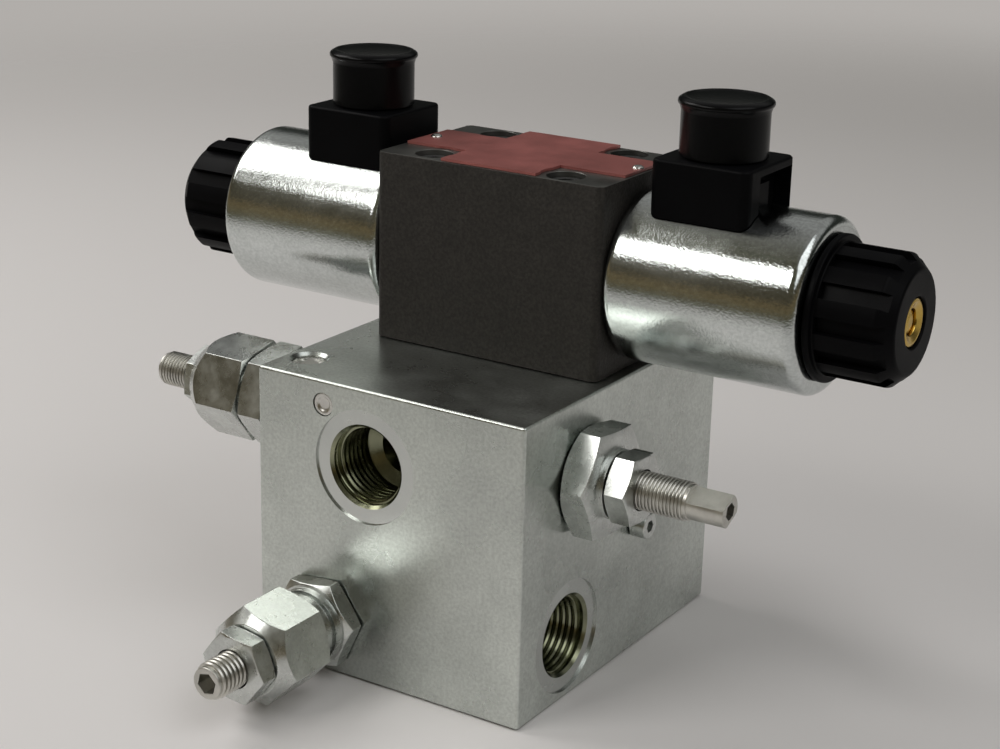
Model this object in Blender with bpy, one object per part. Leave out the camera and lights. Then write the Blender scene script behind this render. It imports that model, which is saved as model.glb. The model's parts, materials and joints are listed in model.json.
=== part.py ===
"""Hydraulic rotation valve: manifold block, solenoid valve and three cartridge valves.

Metres, +Z up. The origin is the middle of the block's base, +X runs along the valve's spool
and -Y is the side with the large front port.
"""

import math

import bmesh
import bpy
from mathutils import Matrix, Vector

# Running gap between neighbouring pieces
GAP = 0.0003
# How far a cutter reaches past the face that it opens
OVERCUT = 0.002

# Manifold block
BLOCK_LENGTH = 0.081
BLOCK_DEPTH = 0.100
BLOCK_HEIGHT = 0.080
BLOCK_EDGE = 0.001

# Threaded ports of the block, each with a spotface
PORT_MOUTH_RADIUS = 0.0104
PORT_THREAD_DEPTH = 0.016
PORT_DRILL_RADIUS = 0.0070
PORT_DRILL_DEPTH = 0.026
SPOTFACE_RADIUS = 0.0152
SPOTFACE_DEPTH = 0.0006
PORT_CHAMFER = 0.0008
FRONT_PORT_FROM_LEFT = 0.0338
FRONT_PORT_BELOW_TOP = 0.0206
RIGHT_PORT_FROM_FRONT = 0.0233
RIGHT_PORT_HEIGHT = 0.0170

# Plugs and screws of the block
TOP_PLUG_RADIUS = 0.0042
TOP_PLUG_FROM_LEFT = 0.0070
TOP_PLUG_FROM_FRONT = 0.0125
TOP_PLUG_CHAMFER = 0.0008
FRONT_PLUG_RADIUS = 0.0028
FRONT_PLUG_FROM_LEFT = 0.0209
FRONT_PLUG_BELOW_TOP = 0.0064
PLUG_THICKNESS = 0.0015
PLUG_SINK = 0.0010
PLUG_RIM_SHARE = 0.7
PLUG_DISH_SHARE = 0.5
SIDE_SCREW_FROM_FRONT = 0.0566
SIDE_SCREW_HEIGHT = 0.0370
SIDE_SCREW_RADIUS = 0.0020
SIDE_SCREW_HEAD_RADIUS = 0.0035
SIDE_SCREW_HEAD_HEIGHT = 0.0045
SIDE_SCREW_DEPTH = 0.010
SIDE_SCREW_SOCKET = 0.003
BACK_PLUG_FROM_LEFT = 0.0720
BACK_PLUG_HEIGHT = 0.0366
BACK_PLUG_RADIUS = 0.0052
BACK_PLUG_COLLAR_RADIUS = 0.0070
BACK_PLUG_COLLAR = 0.0035
BACK_PLUG_DEPTH = 0.012
BACK_PLUG_SOCKET = 0.005

# Valve body on the block's top face
VALVE_LENGTH = 0.0683
VALVE_DEPTH = 0.0440
VALVE_HEIGHT = 0.0504
VALVE_FROM_LEFT = 0.0094
VALVE_FROM_FRONT = 0.0384
VALVE_CORNER = 0.0022
VALVE_EDGE = 0.0006
AXIS_HEIGHT = 0.0245

# Mounting bolts and the interface ports under the valve
BOLT_SPACING_LENGTH = 0.0405
BOLT_SPACING_LEFT = 0.0310
BOLT_SPACING_RIGHT = 0.0325
BOLT_RADIUS = 0.0025
BOLT_HEAD_RADIUS = 0.00425
BOLT_HEAD_HEIGHT = 0.0050
BOLT_HEAD_SINK = 0.0012
BOLT_SOCKET = 0.0040
BOLT_REACH = 0.0110
# Rounding of a cap screw's head, as a share of its radius
HEAD_EDGE_SHARE = 0.12
COUNTERBORE_RADIUS = 0.0050
INTERFACE_PORT_RADIUS = 0.0036
INTERFACE_PORT_DEPTH = 0.0080
RING_SECTION = 0.0008
RING_RADIUS = 0.0046
# Places of the four interface ports from the middle of the bolt pattern
INTERFACE_PORTS = ((0.00125, 0.0104), (0.00125, -0.0104), (-0.00755, 0.0), (0.00995, 0.0))

# Spool and its bore
SPOOL_RADIUS = 0.0080
SPOOL_NECK_RADIUS = 0.0050
SPOOL_HALF = 0.0180
SPOOL_STROKE = 0.0025
SPIGOT_RADIUS = 0.0030
SPIGOT_LENGTH = 0.0030
PORT_GROOVE_RADIUS = 0.0103
PORT_GROOVE_WIDTH = 0.0032
PORT_GROOVE_PITCH = 0.0060
LAND_OVERLAP = 0.0002
WASHER_RADIUS = 0.0072
WASHER_THICKNESS = 0.0015
CENTRING_WIRE = 0.0005
CENTRING_RADIUS = 0.0055
CENTRING_TURNS = 3.0

# Core tube, armature and manual override
TUBE_RADIUS = 0.0075
TUBE_BORE = 0.0055
TUBE_BOSS_RADIUS = 0.0095
TUBE_BOSS_LENGTH = 0.0066
TUBE_POLE_LENGTH = 0.0240
TUBE_NUT_THREAD = 0.0105
SEAL_SECTION = 0.0007
ARMATURE_LENGTH = 0.0229
ARMATURE_EDGE = 0.0005
PIN_RADIUS = 0.0015
GUIDE_RECESS_RADIUS = 0.0033
GUIDE_RECESS_DEPTH = 0.0062
GUIDE_RADIUS = 0.0061
GUIDE_SINK = 0.0003
GUIDE_DISH = 0.0008
PIN_SINK = 0.0015

# Coils
COIL_RADIUS = 0.0225
COIL_LENGTH = 0.0525
COIL_ROUND = 0.0028

# Connector bases, with a slotted insert for the plug's blades, and their caps
CONNECTOR_FROM_VALVE = {"left": 0.0169, "right": 0.0213}
BASE_LENGTH = 0.0270
BASE_WIDTH = 0.0265
BASE_TOP = 0.0332
BASE_CORNER = 0.0025
BASE_EDGE = 0.0008
BASE_FOOT = 0.0020
POCKET_WIDTH = 0.0179
POCKET_SHIFT = 0.0026
POCKET_DEPTH = 0.0050
POCKET_ROOF = 0.0035
SPIGOT_OUTER = 0.0090
SPIGOT_WALL = 0.0014
SPIGOT_HEIGHT = 0.0090
CAP_RADIUS = 0.0111
CAP_RIM_RADIUS = 0.0120
CAP_RIM_HEIGHT = 0.0024
CAP_HEIGHT = 0.0146
CAP_ROOF = 0.0030
INSERT_SINK = 0.0005
SLOT_LENGTH = 0.0060
SLOT_WIDTH = 0.0014
SLOT_DEPTH = 0.0060
SLOT_SPREAD = 0.0040

# Retaining nuts of the coils
NUT_FLANGE_RADIUS = 0.0185
NUT_FLANGE = 0.0018
NUT_RADIUS = 0.0166
NUT_LENGTH = 0.0214
NUT_TAPER = 0.0038
NUT_NOSE_RADIUS = 0.0130
NUT_HOLE_RADIUS = 0.0064
NUT_HOLE_LENGTH = 0.0070
FLUTE_COUNT = 12
FLUTE_WIDTH = 0.0042
FLUTE_DEPTH = 0.0020

# Name plate and rivets
PLATE_THICKNESS = 0.0005
PLATE_END_MARGIN = 0.0012
PLATE_SIDE_MARGIN = 0.0004
PLATE_STRIP_WIDTH = 0.0190
PLATE_MIDDLE_WIDTH = 0.0285
PLATE_HOLE_RADIUS = 0.0065
PLATE_ARC_STEPS = 8
RIVET_HEAD_RADIUS = 0.0016
RIVET_HEAD_HEIGHT = 0.0007
RIVET_RADIUS = 0.0009
RIVET_LENGTH = 0.0040
RIVET_FROM_LEFT = 0.0040
RIVET_FROM_RIGHT = 0.0024
RIVET_DOME_RADIUS = 0.0008
RIVET_SHOULDER = 0.0004

# Cavity shared by the three cartridges
CARTRIDGE_THREAD_RADIUS = 0.0087
CARTRIDGE_THREAD_LENGTH = 0.0090
CARTRIDGE_NOSE_RADIUS = 0.0065
CARTRIDGE_NECK_RADIUS = 0.0080
CARTRIDGE_NECK_LENGTH = 0.0026
SEAL_COUNTERBORE_RADIUS = 0.0102
SEAL_COUNTERBORE_DEPTH = 0.0022
CARTRIDGE_SEAL_RADIUS = 0.0091
CARTRIDGE_SEAL_SECTION = 0.00075
ORIFICE_RADIUS = 0.0026
ORIFICE_LENGTH = 0.0030
POPPET_TIP_RADIUS = 0.0009
POPPET_GUIDE_LENGTH = 0.0065
POPPET_STEM_RADIUS = 0.0022
POPPET_STEM_LENGTH = 0.0020
SEAT_THICKNESS = 0.0020
SEAT_NOSE_LENGTH = 0.0020
CARTRIDGE_WIRE = 0.0006
CARTRIDGE_TURNS = 5.0
SCREW_SOCKET_DEPTH = 0.0050
SCREW_END_CHAMFER = 0.0006

# Each cartridge: its place on its face, its depth in the block, the position of its spring
# seat, its screw, its lock nut and its hexagons. Distances run outwards from the block's face.
CARTRIDGES = {
    "left": {
        "depth": 0.0200, "seat": 0.0060, "screw_radius": 0.0047, "screw_end": 0.0435,
        "socket": 0.0050, "tip_start": None, "nut_size": 0.0150, "nut_length": 0.0034,
        "nut_turn_degrees": 39.0, "face_radius": 0.0095,
        "hexes": (
            {"start": 0.0, "end": 0.0087, "size": 0.0240, "turn_degrees": 50.0,
             "inner_chamfer": 0.0006, "outer_chamfer": 0.0010},
            {"start": 0.0096, "end": 0.0277, "size": 0.0238, "turn_degrees": 50.0,
             "inner_chamfer": 0.0006, "outer_chamfer": 0.0059}),
        "collars": ({"end": 0.0096, "radius": 0.0104},)},
    "front": {
        "depth": 0.0260, "seat": 0.0040, "screw_radius": 0.0049, "screw_end": 0.0466,
        "socket": 0.0050, "tip_start": None, "nut_size": 0.0170, "nut_length": 0.0057,
        "nut_turn_degrees": 52.0, "face_radius": 0.0096,
        "hexes": (
            {"start": 0.0, "end": 0.0056, "size": 0.0222, "turn_degrees": 5.5,
             "inner_chamfer": 0.0005, "outer_chamfer": 0.0016},
            {"start": 0.0128, "end": 0.0311, "size": 0.0232, "turn_degrees": 45.0,
             "inner_chamfer": 0.0013, "outer_chamfer": 0.0036}),
        "collars": ({"end": 0.0078, "radius": 0.0101}, {"end": 0.0092, "radius": 0.0088},
                    {"end": 0.0128, "radius": 0.0099})},
    "right": {
        "depth": 0.0260, "seat": 0.0040, "screw_radius": 0.0050, "screw_end": 0.0402,
        "socket": 0.0040, "tip_start": 0.0302, "nut_size": 0.0170, "nut_length": 0.0063,
        "nut_turn_degrees": 56.5, "face_radius": 0.0118,
        "hexes": (
            {"start": 0.0, "end": 0.0086, "size": 0.0270, "turn_degrees": 56.0,
             "inner_chamfer": 0.0016, "outer_chamfer": 0.0013},),
        "collars": ({"end": 0.0097, "radius": 0.0090},)},
}
LEFT_CARTRIDGE_FROM_FRONT = 0.0145
LEFT_CARTRIDGE_BELOW_TOP = 0.0130
FRONT_CARTRIDGE_FROM_LEFT = 0.0208
FRONT_CARTRIDGE_HEIGHT = 0.0148
RIGHT_CARTRIDGE_FROM_FRONT = 0.0300
RIGHT_CARTRIDGE_BELOW_TOP = 0.0214
SCREW_TIP_RADIUS = 0.0042
SCREW_TIP_FLATS = 0.0056
SCREW_TIP_TURN_DEGREES = 115.0
SCREW_SOCKET_TURN_DEGREES = 15.0

# An edge counts as straight along an axis from this share of its length
STRAIGHT_SHARE = 0.9
# Shape of every rounded edge, and the angle from which an edge stays sharp
BEVEL_PROFILE = 0.5
SHARP_DEGREES = 32.0
# Points closer than this are one point
MERGE_DISTANCE = 0.000001

# Number of sides of round pieces
SIDES_LARGE = 28
SIDES_MEDIUM = 16
SIDES_SMALL = 12
SIDES_TINY = 8

# Heights and places that follow from the sizes above
BLOCK_LEFT = -BLOCK_LENGTH / 2
BLOCK_FRONT = -BLOCK_DEPTH / 2
VALVE_X = BLOCK_LEFT + VALVE_FROM_LEFT + VALVE_LENGTH / 2
VALVE_Y = BLOCK_FRONT + VALVE_FROM_FRONT + VALVE_DEPTH / 2
VALVE_BASE = BLOCK_HEIGHT + GAP
VALVE_TOP = VALVE_BASE + VALVE_HEIGHT
AXIS_Z = BLOCK_HEIGHT + AXIS_HEIGHT
VALVE_END = VALVE_LENGTH / 2
BOSS_START = VALVE_END - TUBE_BOSS_LENGTH
CHAMBER_START = BOSS_START + TUBE_POLE_LENGTH
ARMATURE_START = CHAMBER_START + SPOOL_STROKE + GAP
ARMATURE_END = ARMATURE_START + ARMATURE_LENGTH
GUIDE_START = ARMATURE_END + SPOOL_STROKE + GAP
COIL_START = VALVE_END + GAP
COIL_END = COIL_START + COIL_LENGTH
TUBE_END = COIL_END + TUBE_NUT_THREAD
NUT_START = COIL_END + GAP
NUT_END = NUT_START + NUT_LENGTH
GUIDE_END = NUT_END - GUIDE_SINK
SPIGOT_END = SPOOL_HALF + SPIGOT_LENGTH
WASHER_START = SPOOL_HALF + GAP
WASHER_END = WASHER_START + WASHER_THICKNESS
SPRING_CHAMBER = SPOOL_HALF - SPOOL_STROKE - 2 * GAP

CARTRIDGE_PLACES = {
    "left": (LEFT_CARTRIDGE_FROM_FRONT, BLOCK_HEIGHT - LEFT_CARTRIDGE_BELOW_TOP),
    "front": (FRONT_CARTRIDGE_FROM_LEFT, FRONT_CARTRIDGE_HEIGHT),
    "right": (RIGHT_CARTRIDGE_FROM_FRONT, BLOCK_HEIGHT - RIGHT_CARTRIDGE_BELOW_TOP),
}

UP = Vector((0.0, 0.0, 1.0))
CUTTERS = None


def clear_scene():
    """Remove every object, so that the model starts from nothing."""
    for item in list(bpy.data.objects):
        bpy.data.objects.remove(item, do_unlink=True)


def new_collection(name):
    """Make a collection in the scene and return it."""
    group = bpy.data.collections.new(name)
    bpy.context.scene.collection.children.link(group)
    return group


def make_material(name, color, roughness, metallic):
    """Make a material with one Principled BSDF."""
    material = bpy.data.materials.new(name)
    material.use_nodes = True
    shader = material.node_tree.nodes["Principled BSDF"]
    shader.inputs["Base Color"].default_value = (*color, 1.0)
    shader.inputs["Roughness"].default_value = roughness
    shader.inputs["Metallic"].default_value = metallic
    material.diffuse_color = (*color, 1.0)
    return material


def make_materials():
    """Make the materials of the whole unit, by name."""
    return {
        "zinc": make_material("zinc_plate", (0.36, 0.38, 0.36), 0.35, 1.0),
        "iron": make_material("phosphated_iron", (0.07, 0.075, 0.072), 0.6, 0.6),
        "chrome": make_material("bright_chrome", (0.72, 0.72, 0.74), 0.08, 1.0),
        "steel": make_material("plain_steel", (0.52, 0.52, 0.5), 0.3, 1.0),
        "black": make_material("black_plastic", (0.012, 0.012, 0.014), 0.4, 0.0),
        "brass": make_material("brass", (0.72, 0.5, 0.2), 0.28, 1.0),
        "rubber": make_material("rubber", (0.015, 0.015, 0.015), 0.7, 0.0),
        "red": make_material("red_plate", (0.48, 0.03, 0.03), 0.4, 0.3),
        "spring": make_material("spring_steel", (0.3, 0.3, 0.31), 0.35, 1.0),
    }


def outward_frame(origin, outward):
    """Return a matrix whose local Z is the outward direction and local Y is up."""
    z_axis = Vector(outward).normalized()
    if abs(z_axis.dot(UP)) > STRAIGHT_SHARE:
        return Matrix.Translation(origin)
    x_axis = UP.cross(z_axis)
    turn = Matrix((x_axis, UP, z_axis)).transposed()
    return Matrix.Translation(origin) @ turn.to_4x4()


def add_object(name, bm, frame, material=None):
    """Turn a bmesh into an object at a frame, shaded smooth with sharp edges kept."""
    bmesh.ops.recalc_face_normals(bm, faces=bm.faces)
    mesh = bpy.data.meshes.new(name)
    bm.to_mesh(mesh)
    bm.free()
    mesh.shade_smooth()
    mesh.set_sharp_from_angle(angle=math.radians(SHARP_DEGREES))
    item = bpy.data.objects.new(name, mesh)
    item.matrix_world = frame
    if material is None:
        CUTTERS.objects.link(item)
        item.hide_render = True
        item.display_type = "WIRE"
    else:
        bpy.context.scene.collection.objects.link(item)
        mesh.materials.append(material)
    return item


def turned(outline, sides):
    """Spin an outline of (radius, distance) points round local Z into a closed solid.

    An outline that starts and ends on the axis makes a solid piece. Any other is closed
    on itself and makes a ring or a tube.
    """
    bm = bmesh.new()
    verts = [bm.verts.new((radius, 0.0, along)) for radius, along in outline]
    edges = [bm.edges.new(pair) for pair in zip(verts, verts[1:])]
    if outline[0][0] > 0.0 or outline[-1][0] > 0.0:
        edges.append(bm.edges.new((verts[-1], verts[0])))
    bmesh.ops.spin(bm, geom=verts + edges, axis=(0, 0, 1), cent=(0, 0, 0), angle=math.tau,
                   steps=sides, use_merge=True)
    bmesh.ops.remove_doubles(bm, verts=bm.verts, dist=MERGE_DISTANCE)
    return bm


def prism(outline, low, high):
    """Extrude a flat outline of (x, y) points along local Z."""
    bm = bmesh.new()
    base = bm.faces.new([bm.verts.new((x, y, low)) for x, y in outline])
    top = bmesh.ops.extrude_face_region(bm, geom=[base])["geom"]
    moved = [item for item in top if isinstance(item, bmesh.types.BMVert)]
    bmesh.ops.translate(bm, verts=moved, vec=(0, 0, high - low))
    return bm


def polygon(across_flats, sides, turn_degrees):
    """Return the corners of a regular polygon, the first one at the given angle."""
    radius = across_flats / 2 / math.cos(math.pi / sides)
    return [
        (radius * math.cos(math.radians(turn_degrees) + math.tau * k / sides),
         radius * math.sin(math.radians(turn_degrees) + math.tau * k / sides))
        for k in range(sides)
    ]


def box(size, centre):
    """Make a box of the given size round a centre."""
    bm = bmesh.new()
    bmesh.ops.create_cube(bm, size=1.0)
    bmesh.ops.scale(bm, verts=bm.verts, vec=size)
    bmesh.ops.translate(bm, verts=bm.verts, vec=centre)
    return bm


def bevel_edges(bm, width, segments, chosen):
    """Bevel the edges for which chosen(edge) is true."""
    edges = [edge for edge in bm.edges if chosen(edge)]
    bmesh.ops.bevel(bm, geom=edges, offset=width, segments=segments, profile=BEVEL_PROFILE,
                    affect="EDGES", clamp_overlap=True)


def is_upright(edge):
    """Tell whether an edge runs along local Z."""
    run = edge.verts[0].co - edge.verts[1].co
    return abs(run.z) > STRAIGHT_SHARE * run.length


def is_crosswise(edge):
    """Tell whether an edge runs along local Y."""
    run = edge.verts[0].co - edge.verts[1].co
    return abs(run.y) > STRAIGHT_SHARE * run.length


def join(parts):
    """Join several bmeshes, each a separate body, into one."""
    whole = bmesh.new()
    for bm in parts:
        shape = bpy.data.meshes.new("joined")
        bm.to_mesh(shape)
        bm.free()
        whole.from_mesh(shape)
        bpy.data.meshes.remove(shape)
    return whole


def moved(bm, matrix):
    """Move a bmesh by a matrix and return it."""
    bmesh.ops.transform(bm, matrix=matrix, verts=bm.verts)
    return bm


def cut(target, cutter, operation="DIFFERENCE"):
    """Cut one object with another by a Boolean modifier."""
    modifier = target.modifiers.new(cutter.name, "BOOLEAN")
    modifier.operation = operation
    modifier.solver = "EXACT"
    modifier.object = cutter
    return target


def torus(radius, section, sides, section_sides=5):
    """Make a ring of round section, lying across local Z."""
    outline = [
        (radius + section * math.cos(math.tau * k / section_sides),
         section * math.sin(math.tau * k / section_sides))
        for k in range(section_sides)
    ]
    return turned(outline, sides)


def coil_spring(radius, wire, low, high, turns, steps_per_turn=9, wire_sides=4):
    """Sweep a wire along a helix round local Z, between two heights that it stays inside."""
    steps = round(turns * steps_per_turn)
    start, end = low + wire, high - wire
    rise = (end - start) / steps
    tilt = math.atan2(rise * steps_per_turn, math.tau * radius)
    bm = bmesh.new()
    rings = []
    for step in range(steps + 1):
        angle = math.tau * step / steps_per_turn
        out = Vector((math.cos(angle), math.sin(angle), 0.0))
        along = Vector((-math.sin(angle) * math.cos(tilt), math.cos(angle) * math.cos(tilt), math.sin(tilt)))
        side = along.cross(out)
        centre = out * radius + UP * (start + rise * step)
        ring = []
        for k in range(wire_sides):
            turn = math.tau * k / wire_sides
            ring.append(bm.verts.new(centre + (out * math.cos(turn) + side * math.sin(turn)) * wire))
        rings.append(ring)
    for near, far in zip(rings, rings[1:]):
        for k in range(wire_sides):
            after = (k + 1) % wire_sides
            bm.faces.new((near[k], near[after], far[after], far[k]))
    bm.faces.new(rings[0])
    bm.faces.new(rings[-1])
    return bm


def block_face(side, across, height):
    """Return the frame on a side face of the block, local Z pointing out of the block."""
    if side == "front":
        return outward_frame((BLOCK_LEFT + across, BLOCK_FRONT, height), (0, -1, 0))
    if side == "back":
        return outward_frame((BLOCK_LEFT + across, -BLOCK_FRONT, height), (0, 1, 0))
    if side == "left":
        return outward_frame((BLOCK_LEFT, BLOCK_FRONT + across, height), (-1, 0, 0))
    return outward_frame((-BLOCK_LEFT, BLOCK_FRONT + across, height), (1, 0, 0))


def top_plug_place():
    """Return the frame of the disc in the block's top face."""
    x, y = BLOCK_LEFT + TOP_PLUG_FROM_LEFT, BLOCK_FRONT + TOP_PLUG_FROM_FRONT
    return Matrix.Translation((x, y, BLOCK_HEIGHT))


def front_plug_face():
    """Return the frame of the disc in the block's front face."""
    return block_face("front", FRONT_PLUG_FROM_LEFT, BLOCK_HEIGHT - FRONT_PLUG_BELOW_TOP)


def bolt_places():
    """Return the x and y of the four valve bolts."""
    half = BOLT_SPACING_LENGTH / 2
    return [
        (VALVE_X - half, VALVE_Y - BOLT_SPACING_LEFT / 2),
        (VALVE_X + half, VALVE_Y - BOLT_SPACING_RIGHT / 2),
        (VALVE_X + half, VALVE_Y + BOLT_SPACING_RIGHT / 2),
        (VALVE_X - half, VALVE_Y + BOLT_SPACING_LEFT / 2),
    ]


def drill(name, frame, outline, sides=SIDES_SMALL):
    """Make a stepped round cutter from a list of (radius, distance) points."""
    return add_object(name, turned([(0.0, outline[0][1]), *outline, (0.0, outline[-1][1])], sides), frame)


def cartridge_cavity(side):
    """Make the cutter for one cartridge's cavity in the block."""
    depth = CARTRIDGES[side]["depth"]
    thread = CARTRIDGE_THREAD_RADIUS + GAP
    return drill(f"cut_{side}_cavity", block_face(side, *CARTRIDGE_PLACES[side]), [
        (SEAL_COUNTERBORE_RADIUS, OVERCUT),
        (SEAL_COUNTERBORE_RADIUS, -SEAL_COUNTERBORE_DEPTH),
        (thread, -SEAL_COUNTERBORE_DEPTH),
        (thread, -CARTRIDGE_THREAD_LENGTH - GAP),
        (CARTRIDGE_NOSE_RADIUS + GAP, -CARTRIDGE_THREAD_LENGTH - GAP),
        (CARTRIDGE_NOSE_RADIUS + GAP, -depth - GAP),
        (ORIFICE_RADIUS + GAP, -depth - GAP - CARTRIDGE_NOSE_RADIUS / 3),
    ], SIDES_SMALL)


def port_cutter(name, frame):
    """Make the cutter for one threaded port with its spotface."""
    return drill(name, frame, [
        (SPOTFACE_RADIUS, OVERCUT),
        (SPOTFACE_RADIUS, -SPOTFACE_DEPTH),
        (PORT_MOUTH_RADIUS + PORT_CHAMFER, -SPOTFACE_DEPTH),
        (PORT_MOUTH_RADIUS, -SPOTFACE_DEPTH - PORT_CHAMFER),
        (PORT_MOUTH_RADIUS, -PORT_THREAD_DEPTH),
        (PORT_DRILL_RADIUS, -PORT_THREAD_DEPTH - (PORT_MOUTH_RADIUS - PORT_DRILL_RADIUS) / 2),
        (PORT_DRILL_RADIUS, -PORT_DRILL_DEPTH),
        (PORT_DRILL_RADIUS / 4, -PORT_DRILL_DEPTH - PORT_DRILL_RADIUS / 2),
    ], SIDES_LARGE)


def make_block(materials):
    """Machine the manifold block with its ports, cavities and drillings."""
    bm = box((BLOCK_LENGTH, BLOCK_DEPTH, BLOCK_HEIGHT), (0, 0, BLOCK_HEIGHT / 2))
    bevel_edges(bm, BLOCK_EDGE, 1, lambda edge: True)
    block = add_object("manifold_block", bm, Matrix.Identity(4), materials["zinc"])
    front_port = block_face("front", FRONT_PORT_FROM_LEFT, BLOCK_HEIGHT - FRONT_PORT_BELOW_TOP)
    cut(block, port_cutter("cut_front_port", front_port))
    cut(block, port_cutter("cut_right_port", block_face("right", RIGHT_PORT_FROM_FRONT, RIGHT_PORT_HEIGHT)))
    for side in CARTRIDGES:
        cut(block, cartridge_cavity(side))
    hole = BOLT_RADIUS + GAP
    for number, (x, y) in enumerate(bolt_places()):
        top = Matrix.Translation((x, y, BLOCK_HEIGHT))
        cut(block, drill(f"cut_bolt_hole_{number}", top, [
            (hole, OVERCUT), (hole, -BOLT_REACH - GAP), (hole / 4, -BOLT_REACH - GAP - hole / 2)],
            SIDES_TINY))
    for number, (x, y) in enumerate(INTERFACE_PORTS):
        top = Matrix.Translation((VALVE_X + x, VALVE_Y + y, BLOCK_HEIGHT))
        cut(block, drill(f"cut_block_port_{number}", top, [
            (INTERFACE_PORT_RADIUS, OVERCUT), (INTERFACE_PORT_RADIUS, -INTERFACE_PORT_DEPTH)], SIDES_TINY))
    top_hole = TOP_PLUG_RADIUS + GAP
    floor = -PLUG_SINK - PLUG_THICKNESS - GAP
    cut(block, drill("cut_top_plug_hole", top_plug_place(), [
        (top_hole + TOP_PLUG_CHAMFER + OVERCUT, OVERCUT), (top_hole, -TOP_PLUG_CHAMFER), (top_hole, floor)],
        SIDES_MEDIUM))
    front_hole = FRONT_PLUG_RADIUS + GAP
    cut(block, drill("cut_front_plug_hole", front_plug_face(), [
        (front_hole, OVERCUT), (front_hole, -PLUG_THICKNESS - 2 * GAP)]))
    screw_hole = SIDE_SCREW_RADIUS + GAP
    cut(block, drill("cut_side_screw_hole", block_face("right", SIDE_SCREW_FROM_FRONT, SIDE_SCREW_HEIGHT), [
        (screw_hole, OVERCUT), (screw_hole, -SIDE_SCREW_DEPTH - GAP)]))
    plug_hole = BACK_PLUG_RADIUS + GAP
    cut(block, drill("cut_back_plug_hole", block_face("back", BACK_PLUG_FROM_LEFT, BACK_PLUG_HEIGHT), [
        (plug_hole, OVERCUT), (plug_hole, -BACK_PLUG_DEPTH - GAP)]))


def make_block_plugs(materials):
    """Make the discs, the cap screw and the plug that close the block's drillings."""
    for name, frame, radius, sink in (
            ("top_expander_plug", top_plug_place(), TOP_PLUG_RADIUS, PLUG_SINK),
            ("front_expander_plug", front_plug_face(), FRONT_PLUG_RADIUS, GAP)):
        dish = PLUG_THICKNESS / 4
        disc = turned([(0.0, -sink - PLUG_THICKNESS), (radius, -sink - PLUG_THICKNESS), (radius, -sink),
                       (radius * PLUG_RIM_SHARE, -sink), (radius * PLUG_DISH_SHARE, -sink - dish),
                       (0.0, -sink - dish)], SIDES_SMALL)
        add_object(name, disc, frame, materials["steel"])
    frame = block_face("right", SIDE_SCREW_FROM_FRONT, SIDE_SCREW_HEIGHT)
    screw = turned(cap_screw_outline(SIDE_SCREW_RADIUS, SIDE_SCREW_HEAD_RADIUS, SIDE_SCREW_HEAD_HEIGHT,
                                     -SIDE_SCREW_DEPTH, GAP), SIDES_SMALL)
    screw = add_object("side_cap_screw", screw, frame, materials["zinc"])
    head_top = GAP + SIDE_SCREW_HEAD_HEIGHT
    cut(screw, socket("cut_side_screw_socket", frame, SIDE_SCREW_SOCKET, head_top,
                      SIDE_SCREW_HEAD_HEIGHT / 2))
    frame = block_face("back", BACK_PLUG_FROM_LEFT, BACK_PLUG_HEIGHT)
    plug = turned(cap_screw_outline(BACK_PLUG_RADIUS, BACK_PLUG_COLLAR_RADIUS, BACK_PLUG_COLLAR,
                                    -BACK_PLUG_DEPTH, GAP), SIDES_SMALL)
    plug = add_object("back_plug", plug, frame, materials["zinc"])
    cut(plug, socket("cut_back_plug_socket", frame, BACK_PLUG_SOCKET, GAP + BACK_PLUG_COLLAR,
                     BACK_PLUG_COLLAR))


def cap_screw_outline(radius, head_radius, head_height, tip, seat):
    """Outline of a cap screw whose head sits on a face at the height seat."""
    edge = head_radius * HEAD_EDGE_SHARE
    return [
        (0.0, tip), (radius - edge, tip), (radius, tip + edge), (radius, seat), (head_radius, seat),
        (head_radius, seat + head_height - edge), (head_radius - edge, seat + head_height),
        (0.0, seat + head_height),
    ]


def socket(name, frame, across_flats, top, depth, turn=0.0):
    """Make the cutter for a hexagon socket that opens at the height top."""
    return add_object(name, prism(polygon(across_flats, 6, turn), top - depth, top + OVERCUT), frame)


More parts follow.
